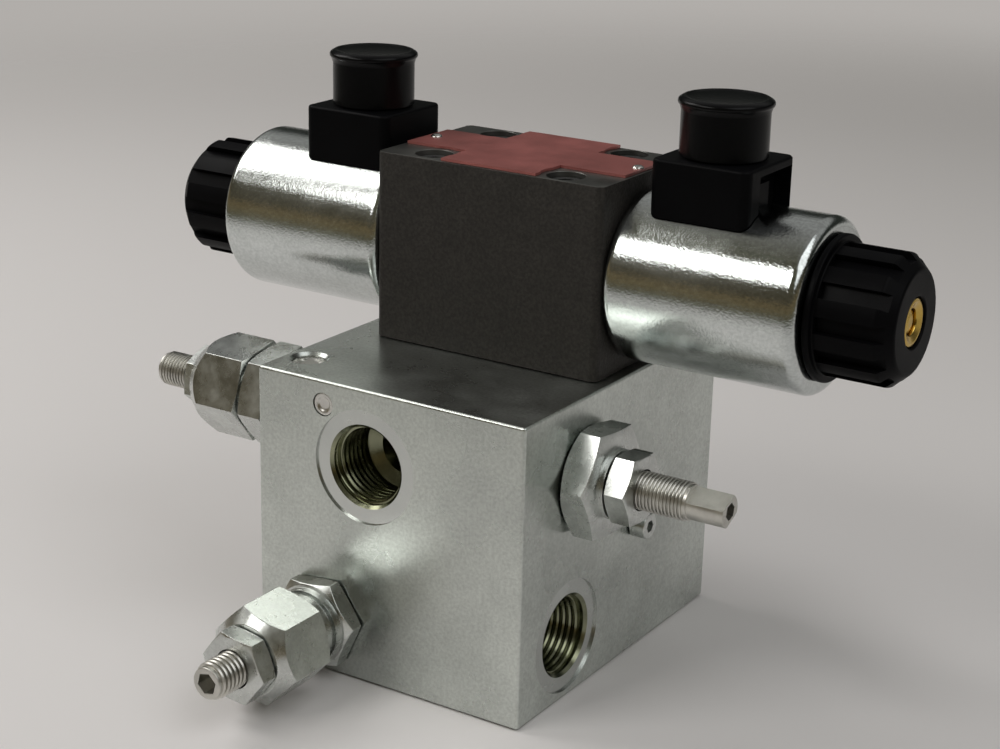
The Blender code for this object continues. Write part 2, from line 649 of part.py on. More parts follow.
def make_valve_body(materials):
    """Cast and machine the valve body: spool bore, bolt holes, base ports and rivet holes."""
    bm = box((VALVE_LENGTH, VALVE_DEPTH, VALVE_HEIGHT), (0, 0, VALVE_HEIGHT / 2))
    bevel_edges(bm, VALVE_CORNER, 3, is_upright)
    bevel_edges(bm, VALVE_EDGE, 1, lambda edge: abs(edge.verts[0].co.z + edge.verts[1].co.z)
                > 2 * VALVE_HEIGHT - VALVE_EDGE)
    frame = Matrix.Translation((VALVE_X, VALVE_Y, VALVE_BASE))
    body = add_object("valve_body", bm, frame, materials["iron"])
    cut(body, spool_bore_cutter())
    head_seat = VALVE_TOP - BOLT_HEAD_SINK - BOLT_HEAD_HEIGHT - GAP
    for number, (x, y) in enumerate(bolt_places()):
        cut(body, drill(f"cut_counterbore_{number}", Matrix.Translation((x, y, 0.0)), [
            (BOLT_RADIUS + GAP, VALVE_BASE - OVERCUT), (BOLT_RADIUS + GAP, head_seat),
            (COUNTERBORE_RADIUS, head_seat), (COUNTERBORE_RADIUS, VALVE_TOP + OVERCUT)]))
    ring_space = 2 * RING_SECTION + GAP
    ring_outer = RING_RADIUS + RING_SECTION + GAP
    for number, (x, y) in enumerate(INTERFACE_PORTS):
        place = Matrix.Translation((VALVE_X + x, VALVE_Y + y, VALVE_BASE))
        cut(body, drill(f"cut_base_port_{number}", place, [
            (ring_outer, -OVERCUT), (ring_outer, ring_space), (INTERFACE_PORT_RADIUS, ring_space),
            (INTERFACE_PORT_RADIUS, ring_space + INTERFACE_PORT_DEPTH)]))
    for number, x in enumerate(rivet_places()):
        cut(body, drill(f"cut_rivet_hole_{number}", Matrix.Translation((x, VALVE_Y, VALVE_TOP)), [
            (RIVET_RADIUS + GAP, OVERCUT), (RIVET_RADIUS + GAP, -RIVET_LENGTH - GAP)], SIDES_TINY))


def spool_bore_cutter():
    """Make the cutter for the bore: five port grooves and a spring chamber at each end."""
    land = SPOOL_RADIUS + GAP
    half = PORT_GROOVE_WIDTH / 2
    right_half = [(PORT_GROOVE_RADIUS, half), (land, half)]
    for number in (1, 2):
        centre = number * PORT_GROOVE_PITCH
        right_half += [(land, centre - half), (PORT_GROOVE_RADIUS, centre - half),
                       (PORT_GROOVE_RADIUS, centre + half), (land, centre + half)]
    chamber = TUBE_BOSS_RADIUS + GAP
    right_half += [(land, SPRING_CHAMBER), (chamber, SPRING_CHAMBER), (chamber, VALVE_END + OVERCUT)]
    left_half = [(radius, -along) for radius, along in reversed(right_half)]
    return drill("cut_spool_bore", outward_frame((VALVE_X, VALVE_Y, AXIS_Z), (1, 0, 0)),
                 left_half + right_half)


def make_spool_train(materials):
    """Make the spool with its springs and washers, and each side's armature and override pin."""
    half = PORT_GROOVE_WIDTH / 2 + LAND_OVERLAP
    centre = PORT_GROOVE_PITCH
    right_half = [(SPOOL_NECK_RADIUS, centre - half), (SPOOL_RADIUS, centre - half),
                  (SPOOL_RADIUS, centre + half), (SPOOL_NECK_RADIUS, centre + half)]
    end_land = 2 * PORT_GROOVE_PITCH - half
    right_half += [(SPOOL_NECK_RADIUS, end_land), (SPOOL_RADIUS, end_land), (SPOOL_RADIUS, SPOOL_HALF),
                   (SPIGOT_RADIUS, SPOOL_HALF), (SPIGOT_RADIUS, SPIGOT_END)]
    left_half = [(radius, -along) for radius, along in reversed(right_half)]
    outline = [(0.0, -SPIGOT_END), *left_half, *right_half, (0.0, SPIGOT_END)]
    frame = outward_frame((VALVE_X, VALVE_Y, AXIS_Z), (1, 0, 0))
    add_object("spool", turned(outline, SIDES_SMALL), frame, materials["steel"])
    for side in ("left", "right"):
        frame = solenoid_frame(side)
        hole = SPIGOT_RADIUS + GAP
        washer = turned([(hole, WASHER_START), (WASHER_RADIUS, WASHER_START), (WASHER_RADIUS, WASHER_END),
                         (hole, WASHER_END)], SIDES_SMALL)
        add_object(f"{side}_spring_washer", washer, frame, materials["steel"])
        spring = coil_spring(CENTRING_RADIUS, CENTRING_WIRE, WASHER_END + GAP, BOSS_START - GAP,
                             CENTRING_TURNS)
        add_object(f"{side}_centring_spring", spring, frame, materials["spring"])
        plunger = TUBE_BORE - GAP
        edge = ARMATURE_EDGE
        armature = turned([(0.0, SPIGOT_END + GAP), (PIN_RADIUS, SPIGOT_END + GAP),
                           (PIN_RADIUS, ARMATURE_START), (plunger - edge, ARMATURE_START),
                           (plunger, ARMATURE_START + edge), (plunger, ARMATURE_END - edge),
                           (plunger - edge, ARMATURE_END), (0.0, ARMATURE_END)], SIDES_SMALL)
        add_object(f"{side}_armature", armature, frame, materials["steel"])
        pin_end = GUIDE_END - PIN_SINK
        override = turned([(0.0, ARMATURE_END + GAP), (PIN_RADIUS, ARMATURE_END + GAP),
                           (PIN_RADIUS, pin_end), (0.0, pin_end)], SIDES_TINY)
        add_object(f"{side}_override_pin", override, frame, materials["steel"])


def solenoid_frame(side):
    """Return the frame of one solenoid: origin at the valve's middle, local Z outwards."""
    return outward_frame((VALVE_X, VALVE_Y, AXIS_Z), (1 if side == "right" else -1, 0, 0))


def make_core_tube(side, materials):
    """Turn the tube that screws into the valve body, with its seal groove and its brass guide."""
    bore = PIN_RADIUS + GAP
    seal_middle = VALVE_END - TUBE_BOSS_LENGTH / 3
    groove_half = SEAL_SECTION + GAP
    groove_floor = TUBE_BOSS_RADIUS - 2 * SEAL_SECTION - GAP
    frame = solenoid_frame(side)
    tube = turned([
        (bore, BOSS_START), (TUBE_BOSS_RADIUS, BOSS_START),
        (TUBE_BOSS_RADIUS, seal_middle - groove_half), (groove_floor, seal_middle - groove_half),
        (groove_floor, seal_middle + groove_half), (TUBE_BOSS_RADIUS, seal_middle + groove_half),
        (TUBE_BOSS_RADIUS, VALVE_END), (TUBE_RADIUS, VALVE_END), (TUBE_RADIUS, TUBE_END),
        (TUBE_BORE, TUBE_END), (TUBE_BORE, CHAMBER_START), (bore, CHAMBER_START)], SIDES_SMALL)
    add_object(f"{side}_core_tube", tube, frame, materials["steel"])
    guide = turned([
        (bore, GUIDE_START), (TUBE_BORE - GAP, GUIDE_START), (TUBE_BORE - GAP, TUBE_END + GAP),
        (GUIDE_RADIUS, TUBE_END + GAP), (GUIDE_RADIUS, GUIDE_END - GAP), (GUIDE_RADIUS - GAP, GUIDE_END),
        (GUIDE_RECESS_RADIUS, GUIDE_END - GUIDE_DISH), (GUIDE_RECESS_RADIUS, GUIDE_END - GUIDE_RECESS_DEPTH),
        (bore, GUIDE_END - GUIDE_RECESS_DEPTH)],
        SIDES_SMALL)
    add_object(f"{side}_override_guide", guide, frame, materials["brass"])


def rounded_end(radius, along, round_size, direction, steps=2):
    """Return the quarter-round from a cylinder's side to its end face."""
    points = []
    for step in range(steps + 1):
        angle = math.pi / 2 * step / steps
        points.append((radius - round_size * (1 - math.cos(angle)),
                       along - direction * round_size * (1 - math.sin(angle))))
    return points


def make_coil(side, materials):
    """Make one coil: a round-ended steel case with a bore for the core tube."""
    bore = TUBE_RADIUS + GAP
    inner = rounded_end(COIL_RADIUS, COIL_START, COIL_ROUND, -1)
    outer = rounded_end(COIL_RADIUS, COIL_END, COIL_ROUND, 1)
    outline = [(bore, COIL_START), *reversed(inner), *outer, (bore, COIL_END)]
    add_object(f"{side}_coil_housing", turned(outline, SIDES_LARGE), solenoid_frame(side),
               materials["chrome"])


def connector_frame(side):
    """Return the frame of one connector: origin on the tube's axis, local Z up."""
    along = VALVE_END + CONNECTOR_FROM_VALVE[side]
    sign = 1 if side == "right" else -1
    return Matrix.Translation((VALVE_X + sign * along, VALVE_Y, AXIS_Z))


def make_connector(side, materials):
    """Mould the connector base on the coil, with its slotted insert and the cap over it."""
    frame = connector_frame(side)
    bottom = math.sqrt(COIL_RADIUS ** 2 - (BASE_WIDTH / 2) ** 2)
    bm = box((BASE_LENGTH, BASE_WIDTH, BASE_TOP - bottom), (0, 0, (BASE_TOP + bottom) / 2))
    bevel_edges(bm, BASE_CORNER, 3, is_upright)
    bevel_edges(bm, BASE_EDGE, 1, lambda edge: min(v.co.z for v in edge.verts) > BASE_TOP - BASE_EDGE / 2)
    bevel_edges(bm, BASE_FOOT, 2, lambda edge: max(v.co.z for v in edge.verts) < bottom + BASE_EDGE / 2
                and is_crosswise(edge))
    base = add_object(f"{side}_connector_base", bm, frame, materials["black"])
    saddle = turned([(0.0, -BASE_LENGTH), (COIL_RADIUS + GAP, -BASE_LENGTH), (COIL_RADIUS + GAP, BASE_LENGTH),
                     (0.0, BASE_LENGTH)], SIDES_LARGE)
    turn = Matrix.Rotation(math.pi / 2, 4, "Y")
    cut(base, add_object(f"cut_{side}_saddle", saddle, frame @ turn))
    pocket_top = BASE_TOP - POCKET_ROOF
    pocket = box((2 * POCKET_DEPTH, POCKET_WIDTH, pocket_top),
                 (BASE_LENGTH / 2, POCKET_SHIFT, pocket_top / 2))
    half_turn = Matrix.Rotation(math.pi if side == "left" else 0.0, 4, "Z")
    cut(base, add_object(f"cut_{side}_pocket", pocket, frame @ half_turn))
    spigot = turned([(0.0, BASE_TOP - OVERCUT), (SPIGOT_OUTER, BASE_TOP - OVERCUT),
                     (SPIGOT_OUTER, BASE_TOP + SPIGOT_HEIGHT), (0.0, BASE_TOP + SPIGOT_HEIGHT)], SIDES_MEDIUM)
    cut(base, add_object(f"add_{side}_spigot", spigot, frame), "UNION")
    well = SPIGOT_OUTER - SPIGOT_WALL
    floor = BASE_TOP + GAP
    cut(base, drill(f"cut_{side}_well", frame, [
        (well, floor), (well, BASE_TOP + SPIGOT_HEIGHT + OVERCUT)], SIDES_MEDIUM))
    insert_top = BASE_TOP + SPIGOT_HEIGHT - INSERT_SINK
    insert = turned([(0.0, floor + GAP), (well - GAP, floor + GAP), (well - GAP, insert_top),
                     (0.0, insert_top)], SIDES_MEDIUM)
    insert = add_object(f"{side}_socket_insert", insert, frame, materials["brass"])
    slots = join([
        box((SLOT_LENGTH, SLOT_WIDTH, 2 * SLOT_DEPTH), (0, shift * SLOT_SPREAD, insert_top))
        for shift in (-1, 0, 1)])
    cut(insert, add_object(f"cut_{side}_slots", slots, frame))
    make_cap(side, frame, materials)


def make_cap(side, frame, materials):
    """Make the round cap: a cup over the spigot, with a flared rim round its top."""
    inner = SPIGOT_OUTER + GAP
    low = BASE_TOP + GAP
    top = low + CAP_HEIGHT
    rim = top - CAP_RIM_HEIGHT
    flare = CAP_RIM_RADIUS - CAP_RADIUS
    outline = [
        (0.0, top - CAP_ROOF), (inner, top - CAP_ROOF), (inner, low), (CAP_RADIUS, low),
        (CAP_RADIUS, rim - flare), (CAP_RIM_RADIUS, rim), (CAP_RIM_RADIUS, top - flare / 3),
        (CAP_RIM_RADIUS - flare / 3, top), (0.0, top)]
    add_object(f"{side}_connector_cap", turned(outline, SIDES_MEDIUM), frame, materials["black"])


def make_retaining_nut(side, materials):
    """Make the fluted nut that clamps the coil on its tube."""
    bore = TUBE_RADIUS + GAP
    flange_end = NUT_START + NUT_FLANGE
    taper_start = NUT_END - NUT_TAPER
    outline = [
        (bore, NUT_START), (NUT_FLANGE_RADIUS, NUT_START), (NUT_FLANGE_RADIUS, flange_end - GAP),
        (NUT_FLANGE_RADIUS - GAP, flange_end), (NUT_RADIUS, flange_end), (NUT_RADIUS, taper_start),
        (NUT_NOSE_RADIUS, NUT_END), (NUT_HOLE_RADIUS, NUT_END), (NUT_HOLE_RADIUS, NUT_END - NUT_HOLE_LENGTH),
        (bore, NUT_END - NUT_HOLE_LENGTH)]
    frame = solenoid_frame(side)
    nut = add_object(f"{side}_retaining_nut", turned(outline, SIDES_LARGE), frame, materials["black"])
    floor = NUT_RADIUS - FLUTE_DEPTH
    flute_start = flange_end + GAP
    flute_end = NUT_END + OVERCUT
    flute = []
    for number in range(FLUTE_COUNT):
        piece = box((2 * FLUTE_DEPTH, FLUTE_WIDTH, flute_end - flute_start),
                    (floor + FLUTE_DEPTH, 0, (flute_end + flute_start) / 2))
        flute.append(moved(piece, Matrix.Rotation(math.tau * number / FLUTE_COUNT, 4, "Z")))
    cut(nut, add_object(f"cut_{side}_flutes", join(flute), frame))


def rivet_places():
    """Return the x of the two rivets of the plate."""
    return [VALVE_X - VALVE_LENGTH / 2 + RIVET_FROM_LEFT, VALVE_X + VALVE_LENGTH / 2 - RIVET_FROM_RIGHT]


def plate_quarter(spacing_depth):
    """Return the plate's outline from its end to its long side, round one bolt hole."""
    end = VALVE_LENGTH / 2 - PLATE_END_MARGIN
    strip = PLATE_STRIP_WIDTH / 2
    middle = PLATE_MIDDLE_WIDTH / 2
    side = VALVE_DEPTH / 2 - PLATE_SIDE_MARGIN
    bolt_x, bolt_y = BOLT_SPACING_LENGTH / 2, spacing_depth / 2
    start = -math.asin(min(1.0, (bolt_y - strip) / PLATE_HOLE_RADIUS))
    stop = -math.pi - math.asin(min(1.0, math.sqrt(
        max(0.0, PLATE_HOLE_RADIUS ** 2 - (bolt_x - middle) ** 2)) / PLATE_HOLE_RADIUS))
    points = [(end, strip)]
    for step in range(PLATE_ARC_STEPS + 1):
        angle = start + (stop - start) * step / PLATE_ARC_STEPS
        points.append((bolt_x + PLATE_HOLE_RADIUS * math.cos(angle),
                       bolt_y + PLATE_HOLE_RADIUS * math.sin(angle)))
    points.append((middle, side))
    return points


def make_plate(materials):
    """Make the cross-shaped plate, with the two rivets that hold it joined on."""
    right, left = plate_quarter(BOLT_SPACING_RIGHT), plate_quarter(BOLT_SPACING_LEFT)
    outline = list(right)
    outline += [(-x, y) for x, y in reversed(left)]
    outline += [(-x, -y) for x, y in left]
    outline += [(x, -y) for x, y in reversed(right)]
    frame = Matrix.Translation((VALVE_X, VALVE_Y, VALVE_TOP + GAP))
    plate = add_object("name_plate", prism(outline, 0.0, PLATE_THICKNESS), frame, materials["red"])
    top = GAP + PLATE_THICKNESS
    for number, x in enumerate(rivet_places()):
        place = Matrix.Translation((x, VALVE_Y, VALVE_TOP))
        rivet = turned([
            (0.0, -RIVET_LENGTH), (RIVET_RADIUS, -RIVET_LENGTH), (RIVET_RADIUS, top - PLATE_THICKNESS / 2),
            (RIVET_HEAD_RADIUS, top - PLATE_THICKNESS / 2),
            (RIVET_HEAD_RADIUS, top + RIVET_SHOULDER), (RIVET_DOME_RADIUS, top + RIVET_HEAD_HEIGHT),
            (0.0, top + RIVET_HEAD_HEIGHT)], SIDES_TINY)
        cut(plate, add_object(f"add_rivet_{number}", rivet, place), "UNION")


def make_valve_bolts(materials):
    """Make the four cap screws that hold the valve, and the four rings under it."""
    head_top = VALVE_TOP - BOLT_HEAD_SINK
    head_seat = head_top - BOLT_HEAD_HEIGHT
    for number, (x, y) in enumerate(bolt_places()):
        place = Matrix.Translation((x, y, 0.0))
        bolt = turned(cap_screw_outline(BOLT_RADIUS, BOLT_HEAD_RADIUS, BOLT_HEAD_HEIGHT,
                                        BLOCK_HEIGHT - BOLT_REACH, head_seat), SIDES_SMALL)
        bolt = add_object(f"valve_bolt_{number + 1}", bolt, place, materials["iron"])
        cut(bolt, socket(f"cut_bolt_socket_{number}", place, BOLT_SOCKET, head_top, BOLT_HEAD_HEIGHT / 2))
    height = VALVE_BASE + RING_SECTION
    for number, (x, y) in enumerate(INTERFACE_PORTS):
        ring = torus(RING_RADIUS, RING_SECTION, SIDES_TINY)
        add_object(f"interface_ring_{number + 1}", ring,
                   Matrix.Translation((VALVE_X + x, VALVE_Y + y, height)), materials["rubber"])


def hex_ring(across_flats, low, high, turn):
    """Make a cutter that leaves only a hexagon of what stands inside it."""
    bm = bmesh.new()
    inner = polygon(across_flats, 6, turn)
    outer = polygon(across_flats * 2, 6, turn)
    rings = []
    for outline in (inner, outer):
        rings.append([[bm.verts.new((x, y, along)) for x, y in outline] for along in (low, high)])
    for k in range(6):
        after = (k + 1) % 6
        (inner_low, inner_high), (outer_low, outer_high) = rings
        bm.faces.new((inner_low[k], inner_high[k], inner_high[after], inner_low[after]))
        bm.faces.new((outer_low[k], outer_low[after], outer_high[after], outer_high[k]))
        bm.faces.new((inner_low[k], inner_low[after], outer_low[after], outer_low[k]))
        bm.faces.new((inner_high[k], outer_high[k], outer_high[after], inner_high[after]))
    return bm


def hex_outline(start, end, size, inner, outer, face_radius):
    """Outline of a hexagon before its flats are cut, chamfered at both ends."""
    corner = size / math.sqrt(3) + GAP
    flat = size / 2 - GAP
    return [(flat, start), (corner, start + inner), (corner, end - outer), (min(flat, face_radius), end)]


def cartridge_bore(side):
    """Return the radius of a cartridge's bore, which clears its adjusting screw."""
    return CARTRIDGES[side]["screw_radius"] + GAP


def make_cartridge_body(side, frame, materials):
    """Turn a cartridge body: nose, thread, seal neck, then hexagons and collars outside."""
    spec = CARTRIDGES[side]
    nose = -spec["depth"]
    bore = cartridge_bore(side)
    outline = [
        (ORIFICE_RADIUS, nose), (CARTRIDGE_NOSE_RADIUS, nose),
        (CARTRIDGE_NOSE_RADIUS, -CARTRIDGE_THREAD_LENGTH),
        (CARTRIDGE_THREAD_RADIUS, -CARTRIDGE_THREAD_LENGTH),
        (CARTRIDGE_THREAD_RADIUS, -CARTRIDGE_NECK_LENGTH), (CARTRIDGE_NECK_RADIUS, -CARTRIDGE_NECK_LENGTH),
        (CARTRIDGE_NECK_RADIUS, GAP)]
    last = 0.0
    for number, flats in enumerate(spec["hexes"]):
        start = max(flats["start"], GAP)
        outer_face = spec["face_radius"] if number == len(spec["hexes"]) - 1 else flats["size"] / 2
        outline += hex_outline(start, flats["end"], flats["size"], flats["inner_chamfer"],
                               flats["outer_chamfer"], outer_face)
        last = flats["end"]
        for collar in spec["collars"]:
            if collar["end"] > last and (number + 1 == len(spec["hexes"])
                                         or collar["end"] <= spec["hexes"][number + 1]["start"]):
                outline += [(collar["radius"], last), (collar["radius"], collar["end"])]
                last = collar["end"]
    outline += [(bore, last), (bore, nose + ORIFICE_LENGTH), (ORIFICE_RADIUS, nose + ORIFICE_LENGTH)]
    body = add_object(f"{side}_cartridge_body", turned(outline, SIDES_MEDIUM), frame, materials["zinc"])
    for number, flats in enumerate(spec["hexes"]):
        reach = GAP if number == 0 else OVERCUT / 4
        low = max(flats["start"], GAP) - reach
        ring = hex_ring(flats["size"], low, flats["end"] + OVERCUT / 4, flats["turn_degrees"])
        cut(body, add_object(f"cut_{side}_hexagon_{number}", ring, frame))
    return last


def make_cartridge(side, materials):
    """Make one cartridge valve with everything that it holds."""
    spec = CARTRIDGES[side]
    frame = block_face(side, *CARTRIDGE_PLACES[side])
    body_end = make_cartridge_body(side, frame, materials)
    bore = cartridge_bore(side)
    slide = bore - GAP
    seal_frame = frame @ Matrix.Translation((0, 0, GAP - CARTRIDGE_SEAL_SECTION - 2 * GAP))
    add_object(f"{side}_cartridge_seal", torus(CARTRIDGE_SEAL_RADIUS, CARTRIDGE_SEAL_SECTION, SIDES_SMALL),
               seal_frame, materials["rubber"])

    seat_edge = -spec["depth"] + ORIFICE_LENGTH
    edge_radius = ORIFICE_RADIUS - GAP * math.sqrt(2)
    guide_start = seat_edge + slide - edge_radius
    guide_end = guide_start + POPPET_GUIDE_LENGTH
    stem_end = guide_end + POPPET_STEM_LENGTH
    poppet = turned([
        (0.0, seat_edge - edge_radius + POPPET_TIP_RADIUS),
        (POPPET_TIP_RADIUS, seat_edge - edge_radius + POPPET_TIP_RADIUS),
        (slide, guide_start), (slide, guide_end), (POPPET_STEM_RADIUS, guide_end),
        (POPPET_STEM_RADIUS, stem_end), (0.0, stem_end)], SIDES_SMALL)
    add_object(f"{side}_poppet", poppet, frame, materials["steel"])

    seat = spec["seat"]
    seat_piece = turned([
        (0.0, seat - SEAT_NOSE_LENGTH), (POPPET_STEM_RADIUS, seat - SEAT_NOSE_LENGTH),
        (POPPET_STEM_RADIUS, seat), (slide, seat), (slide, seat + SEAT_THICKNESS),
        (0.0, seat + SEAT_THICKNESS)], SIDES_SMALL)
    add_object(f"{side}_spring_seat", seat_piece, frame, materials["steel"])
    spring = coil_spring(slide - CARTRIDGE_WIRE, CARTRIDGE_WIRE, guide_end + GAP, seat - GAP, CARTRIDGE_TURNS)
    add_object(f"{side}_cartridge_spring", spring, frame, materials["spring"])

    make_adjusting_screw(side, frame, seat + SEAT_THICKNESS + GAP, materials)
    nut_start = body_end + GAP
    nut_end = nut_start + spec["nut_length"]
    nut_size = spec["nut_size"]
    chamfer = (nut_size / math.sqrt(3) - nut_size / 2) / 2
    nut_outline = hex_outline(nut_start, nut_end, nut_size, chamfer, chamfer, nut_size / 2)
    nut = turned([(bore, nut_start), *nut_outline, (bore, nut_end)], SIDES_MEDIUM)
    nut = add_object(f"{side}_lock_nut", nut, frame, materials["zinc"])
    ring = hex_ring(nut_size, nut_start - GAP, nut_end + GAP, spec["nut_turn_degrees"])
    cut(nut, add_object(f"cut_{side}_nut_hexagon", ring, frame))


def make_adjusting_screw(side, frame, start, materials):
    """Make an adjusting screw: a stud with a hexagon socket, and on one side a flatted tip."""
    spec = CARTRIDGES[side]
    radius, end = spec["screw_radius"], spec["screw_end"]
    edge = SCREW_END_CHAMFER
    outline = [(0.0, start), (radius - edge, start), (radius, start + edge)]
    if spec["tip_start"] is None:
        outline += [(radius, end - edge), (radius - edge, end), (0.0, end)]
    else:
        tip = spec["tip_start"]
        outline += [(radius, tip - edge), (SCREW_TIP_RADIUS, tip), (SCREW_TIP_RADIUS, end - edge),
                    (SCREW_TIP_RADIUS - edge, end), (0.0, end)]
    screw = add_object(f"{side}_adjusting_screw", turned(outline, SIDES_SMALL + 4), frame, materials["zinc"])
    cut(screw, socket(f"cut_{side}_screw_socket", frame, spec["socket"], end, SCREW_SOCKET_DEPTH,
                      SCREW_SOCKET_TURN_DEGREES))
    if spec["tip_start"] is not None:
        waste = SCREW_TIP_RADIUS
        flats = join([
            box((waste, 4 * waste, end - spec["tip_start"] + OVERCUT),
                (sign * (SCREW_TIP_FLATS / 2 + waste / 2), 0, (end + spec["tip_start"] + OVERCUT) / 2))
            for sign in (-1, 1)])
        turn = Matrix.Rotation(math.radians(SCREW_TIP_TURN_DEGREES), 4, "Z")
        cut(screw, add_object(f"cut_{side}_tip_flats", flats, frame @ turn))


def parent_moving_pieces():
    """Hang what rides on each coil from that coil, whose origin lies on the turning axis."""
    for side in ("left", "right"):
        coil = bpy.data.objects[f"{side}_coil_housing"]
        for name in ("connector_base", "socket_insert", "connector_cap"):
            piece = bpy.data.objects[f"{side}_{name}"]
            place = piece.matrix_world.copy()
            piece.parent = coil
            piece.matrix_parent_inverse = coil.matrix_world.inverted()
            piece.matrix_world = place


def main():
    """Build the whole unit."""
    global CUTTERS
    clear_scene()
    CUTTERS = new_collection("cutters")
    materials = make_materials()
    make_block(materials)
    make_block_plugs(materials)
    make_valve_body(materials)
    make_spool_train(materials)
    for side in ("left", "right"):
        make_core_tube(side, materials)
        make_coil(side, materials)
        make_connector(side, materials)
        make_retaining_nut(side, materials)
    make_plate(materials)
    make_valve_bolts(materials)
    for side in CARTRIDGES:
        make_cartridge(side, materials)
    bpy.context.view_layer.update()
    parent_moving_pieces()


main()
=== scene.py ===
# %% [markdown]
# Hydraulic rotation valve: the looks.
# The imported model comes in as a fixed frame. This script adds a camera, a table and soft light,
# then dresses each visible piece of the valve in a finer shape and a material of its own.

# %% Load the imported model
import json
import math

import bmesh
import bpy
from mathutils import Matrix, Vector


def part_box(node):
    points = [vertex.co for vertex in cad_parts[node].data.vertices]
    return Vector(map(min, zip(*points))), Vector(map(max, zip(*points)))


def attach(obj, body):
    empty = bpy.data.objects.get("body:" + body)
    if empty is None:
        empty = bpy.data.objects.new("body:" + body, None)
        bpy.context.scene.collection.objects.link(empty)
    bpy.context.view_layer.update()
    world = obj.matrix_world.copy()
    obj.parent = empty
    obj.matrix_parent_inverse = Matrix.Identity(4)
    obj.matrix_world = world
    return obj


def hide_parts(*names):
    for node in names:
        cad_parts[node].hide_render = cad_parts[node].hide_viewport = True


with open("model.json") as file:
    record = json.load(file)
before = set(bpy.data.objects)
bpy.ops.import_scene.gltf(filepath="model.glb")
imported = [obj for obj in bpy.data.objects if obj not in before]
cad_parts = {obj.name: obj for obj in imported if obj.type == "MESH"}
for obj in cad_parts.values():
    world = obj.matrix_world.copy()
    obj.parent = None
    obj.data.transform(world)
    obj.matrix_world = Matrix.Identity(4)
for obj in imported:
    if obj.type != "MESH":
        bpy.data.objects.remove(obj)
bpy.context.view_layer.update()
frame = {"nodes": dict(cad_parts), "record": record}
NODES = frame["nodes"]
MM = 0.001
SIDES = {"left": -1, "right": 1}  # each solenoid's direction along X
SCREW_SIDES = ("left", "front", "right")
print("pieces in the frame:", len(NODES))

# %% [markdown]
# The camera stands where the photographer stood. Its place, its three turning angles and its
# lens were worked out from the edges of the steel block, whose corners are all square.

# %% Camera
CAMERA_PLACE = Vector((0.274015, -0.432094, 0.242846))
CAMERA_AZIMUTH = math.radians(32.242)
CAMERA_ELEVATION = math.radians(18.455)
CAMERA_ROLL = math.radians(1.395)
LENS_MM = 72.63
SENSOR_MM = 36.0
NEAREST_SEEN = 0.01


def camera_turn(azimuth, elevation, roll):
    """Return the rotation of a camera that stands at azimuth, right of front, and looks down."""
    flat = math.cos(elevation)
    ahead = Vector((-math.sin(azimuth) * flat, math.cos(azimuth) * flat, -math.sin(elevation)))
    level = Vector((math.cos(azimuth), math.sin(azimuth), 0.0))
    above = level.cross(ahead)
    right = math.cos(roll) * level + math.sin(roll) * above
    upward = math.cos(roll) * above - math.sin(roll) * level
    return Matrix((right, upward, -ahead)).transposed()


camera_data = bpy.data.cameras.new("camera")
camera_data.lens = LENS_MM
camera_data.sensor_width = SENSOR_MM
camera_data.clip_start = NEAREST_SEEN
camera = bpy.data.objects.new("camera", camera_data)
camera.matrix_world = Matrix.LocRotScale(
    CAMERA_PLACE, camera_turn(CAMERA_AZIMUTH, CAMERA_ELEVATION, CAMERA_ROLL), None)
bpy.context.scene.collection.objects.link(camera)
bpy.context.scene.camera = camera
bpy.context.scene.view_settings.view_transform = "Standard"
print("camera at", tuple(round(value, 3) for value in CAMERA_PLACE))

# %% [markdown]
# Bright metal has hardly a colour of its own: it shows the room. The room here is a pale table,
# a window on the left in front, a wall behind and a dim, brownish space round the photographer.
# The bands on the coils come from these: table, dim space, window and ceiling, upwards.

# %% Small helpers for node trees


def add_node(tree, kind, **settings):
    """Add a node of a kind and set its properties and, with names, its input values."""
    node = tree.nodes.new(kind)
    for key, value in settings.items():
        if hasattr(node, key):
            setattr(node, key, value)
        else:
            node.inputs[key.replace("_", " ")].default_value = value
    return node


def wire(source, target):
    """Link an output socket to an input socket."""
    source.id_data.links.new(source, target)


def add_math(tree, operation, first, second):
    """Add a Math node on two outputs, and return its result."""
    node = add_node(tree, "ShaderNodeMath", operation=operation)
    wire(first, node.inputs[0])
    wire(second, node.inputs[1])
    return node.outputs[0]


def add_range(tree, value, source, result=(0.0, 1.0), **settings):
    """Map an output from one pair of limits to another, and return the result."""
    node = add_node(tree, "ShaderNodeMapRange", From_Min=source[0], From_Max=source[1],
                    To_Min=result[0], To_Max=result[1], **settings)
    wire(value, node.inputs["Value"])
    return node.outputs["Result"]


def add_ramp(tree, factor, stops):
    """Turn an output into colours by stops of (place, colour), and return the colour."""
    node = add_node(tree, "ShaderNodeValToRGB")
    elements = node.color_ramp.elements
    elements.remove(elements[-1])
    for number, (place, color) in enumerate(stops):
        stop = elements.new(place) if number else elements[0]
        stop.position = place
        stop.color = (*color, 1.0)
    wire(factor, node.inputs["Fac"])
    return node.outputs["Color"]


def add_mix(tree, factor, first):
    """Mix a colour output with a second colour, whose socket is still free, and return the node."""
    node = add_node(tree, "ShaderNodeMix", data_type="RGBA")
    wire(factor, node.inputs["Factor"])
    wire(first, node.inputs["A"])
    return node


# %% The room round the table
ROOM_HEIGHTS = [
    (0.00, (0.30, 0.29, 0.28)), (0.30, (0.20, 0.20, 0.18)), (0.38, (0.080, 0.090, 0.070)),
    (0.54, (0.16, 0.12, 0.060)), (0.60, (0.07, 0.060, 0.040)), (0.90, (0.090, 0.085, 0.055)),
    (1.00, (0.20, 0.195, 0.18))]
WALL_HEIGHTS = [
    (0.00, (0.30, 0.29, 0.28)), (0.50, (0.42, 0.41, 0.39)), (0.55, (0.025, 0.028, 0.024)),
    (0.70, (0.020, 0.023, 0.020)), (0.77, (0.30, 0.30, 0.29)), (1.00, (0.26, 0.255, 0.25))]
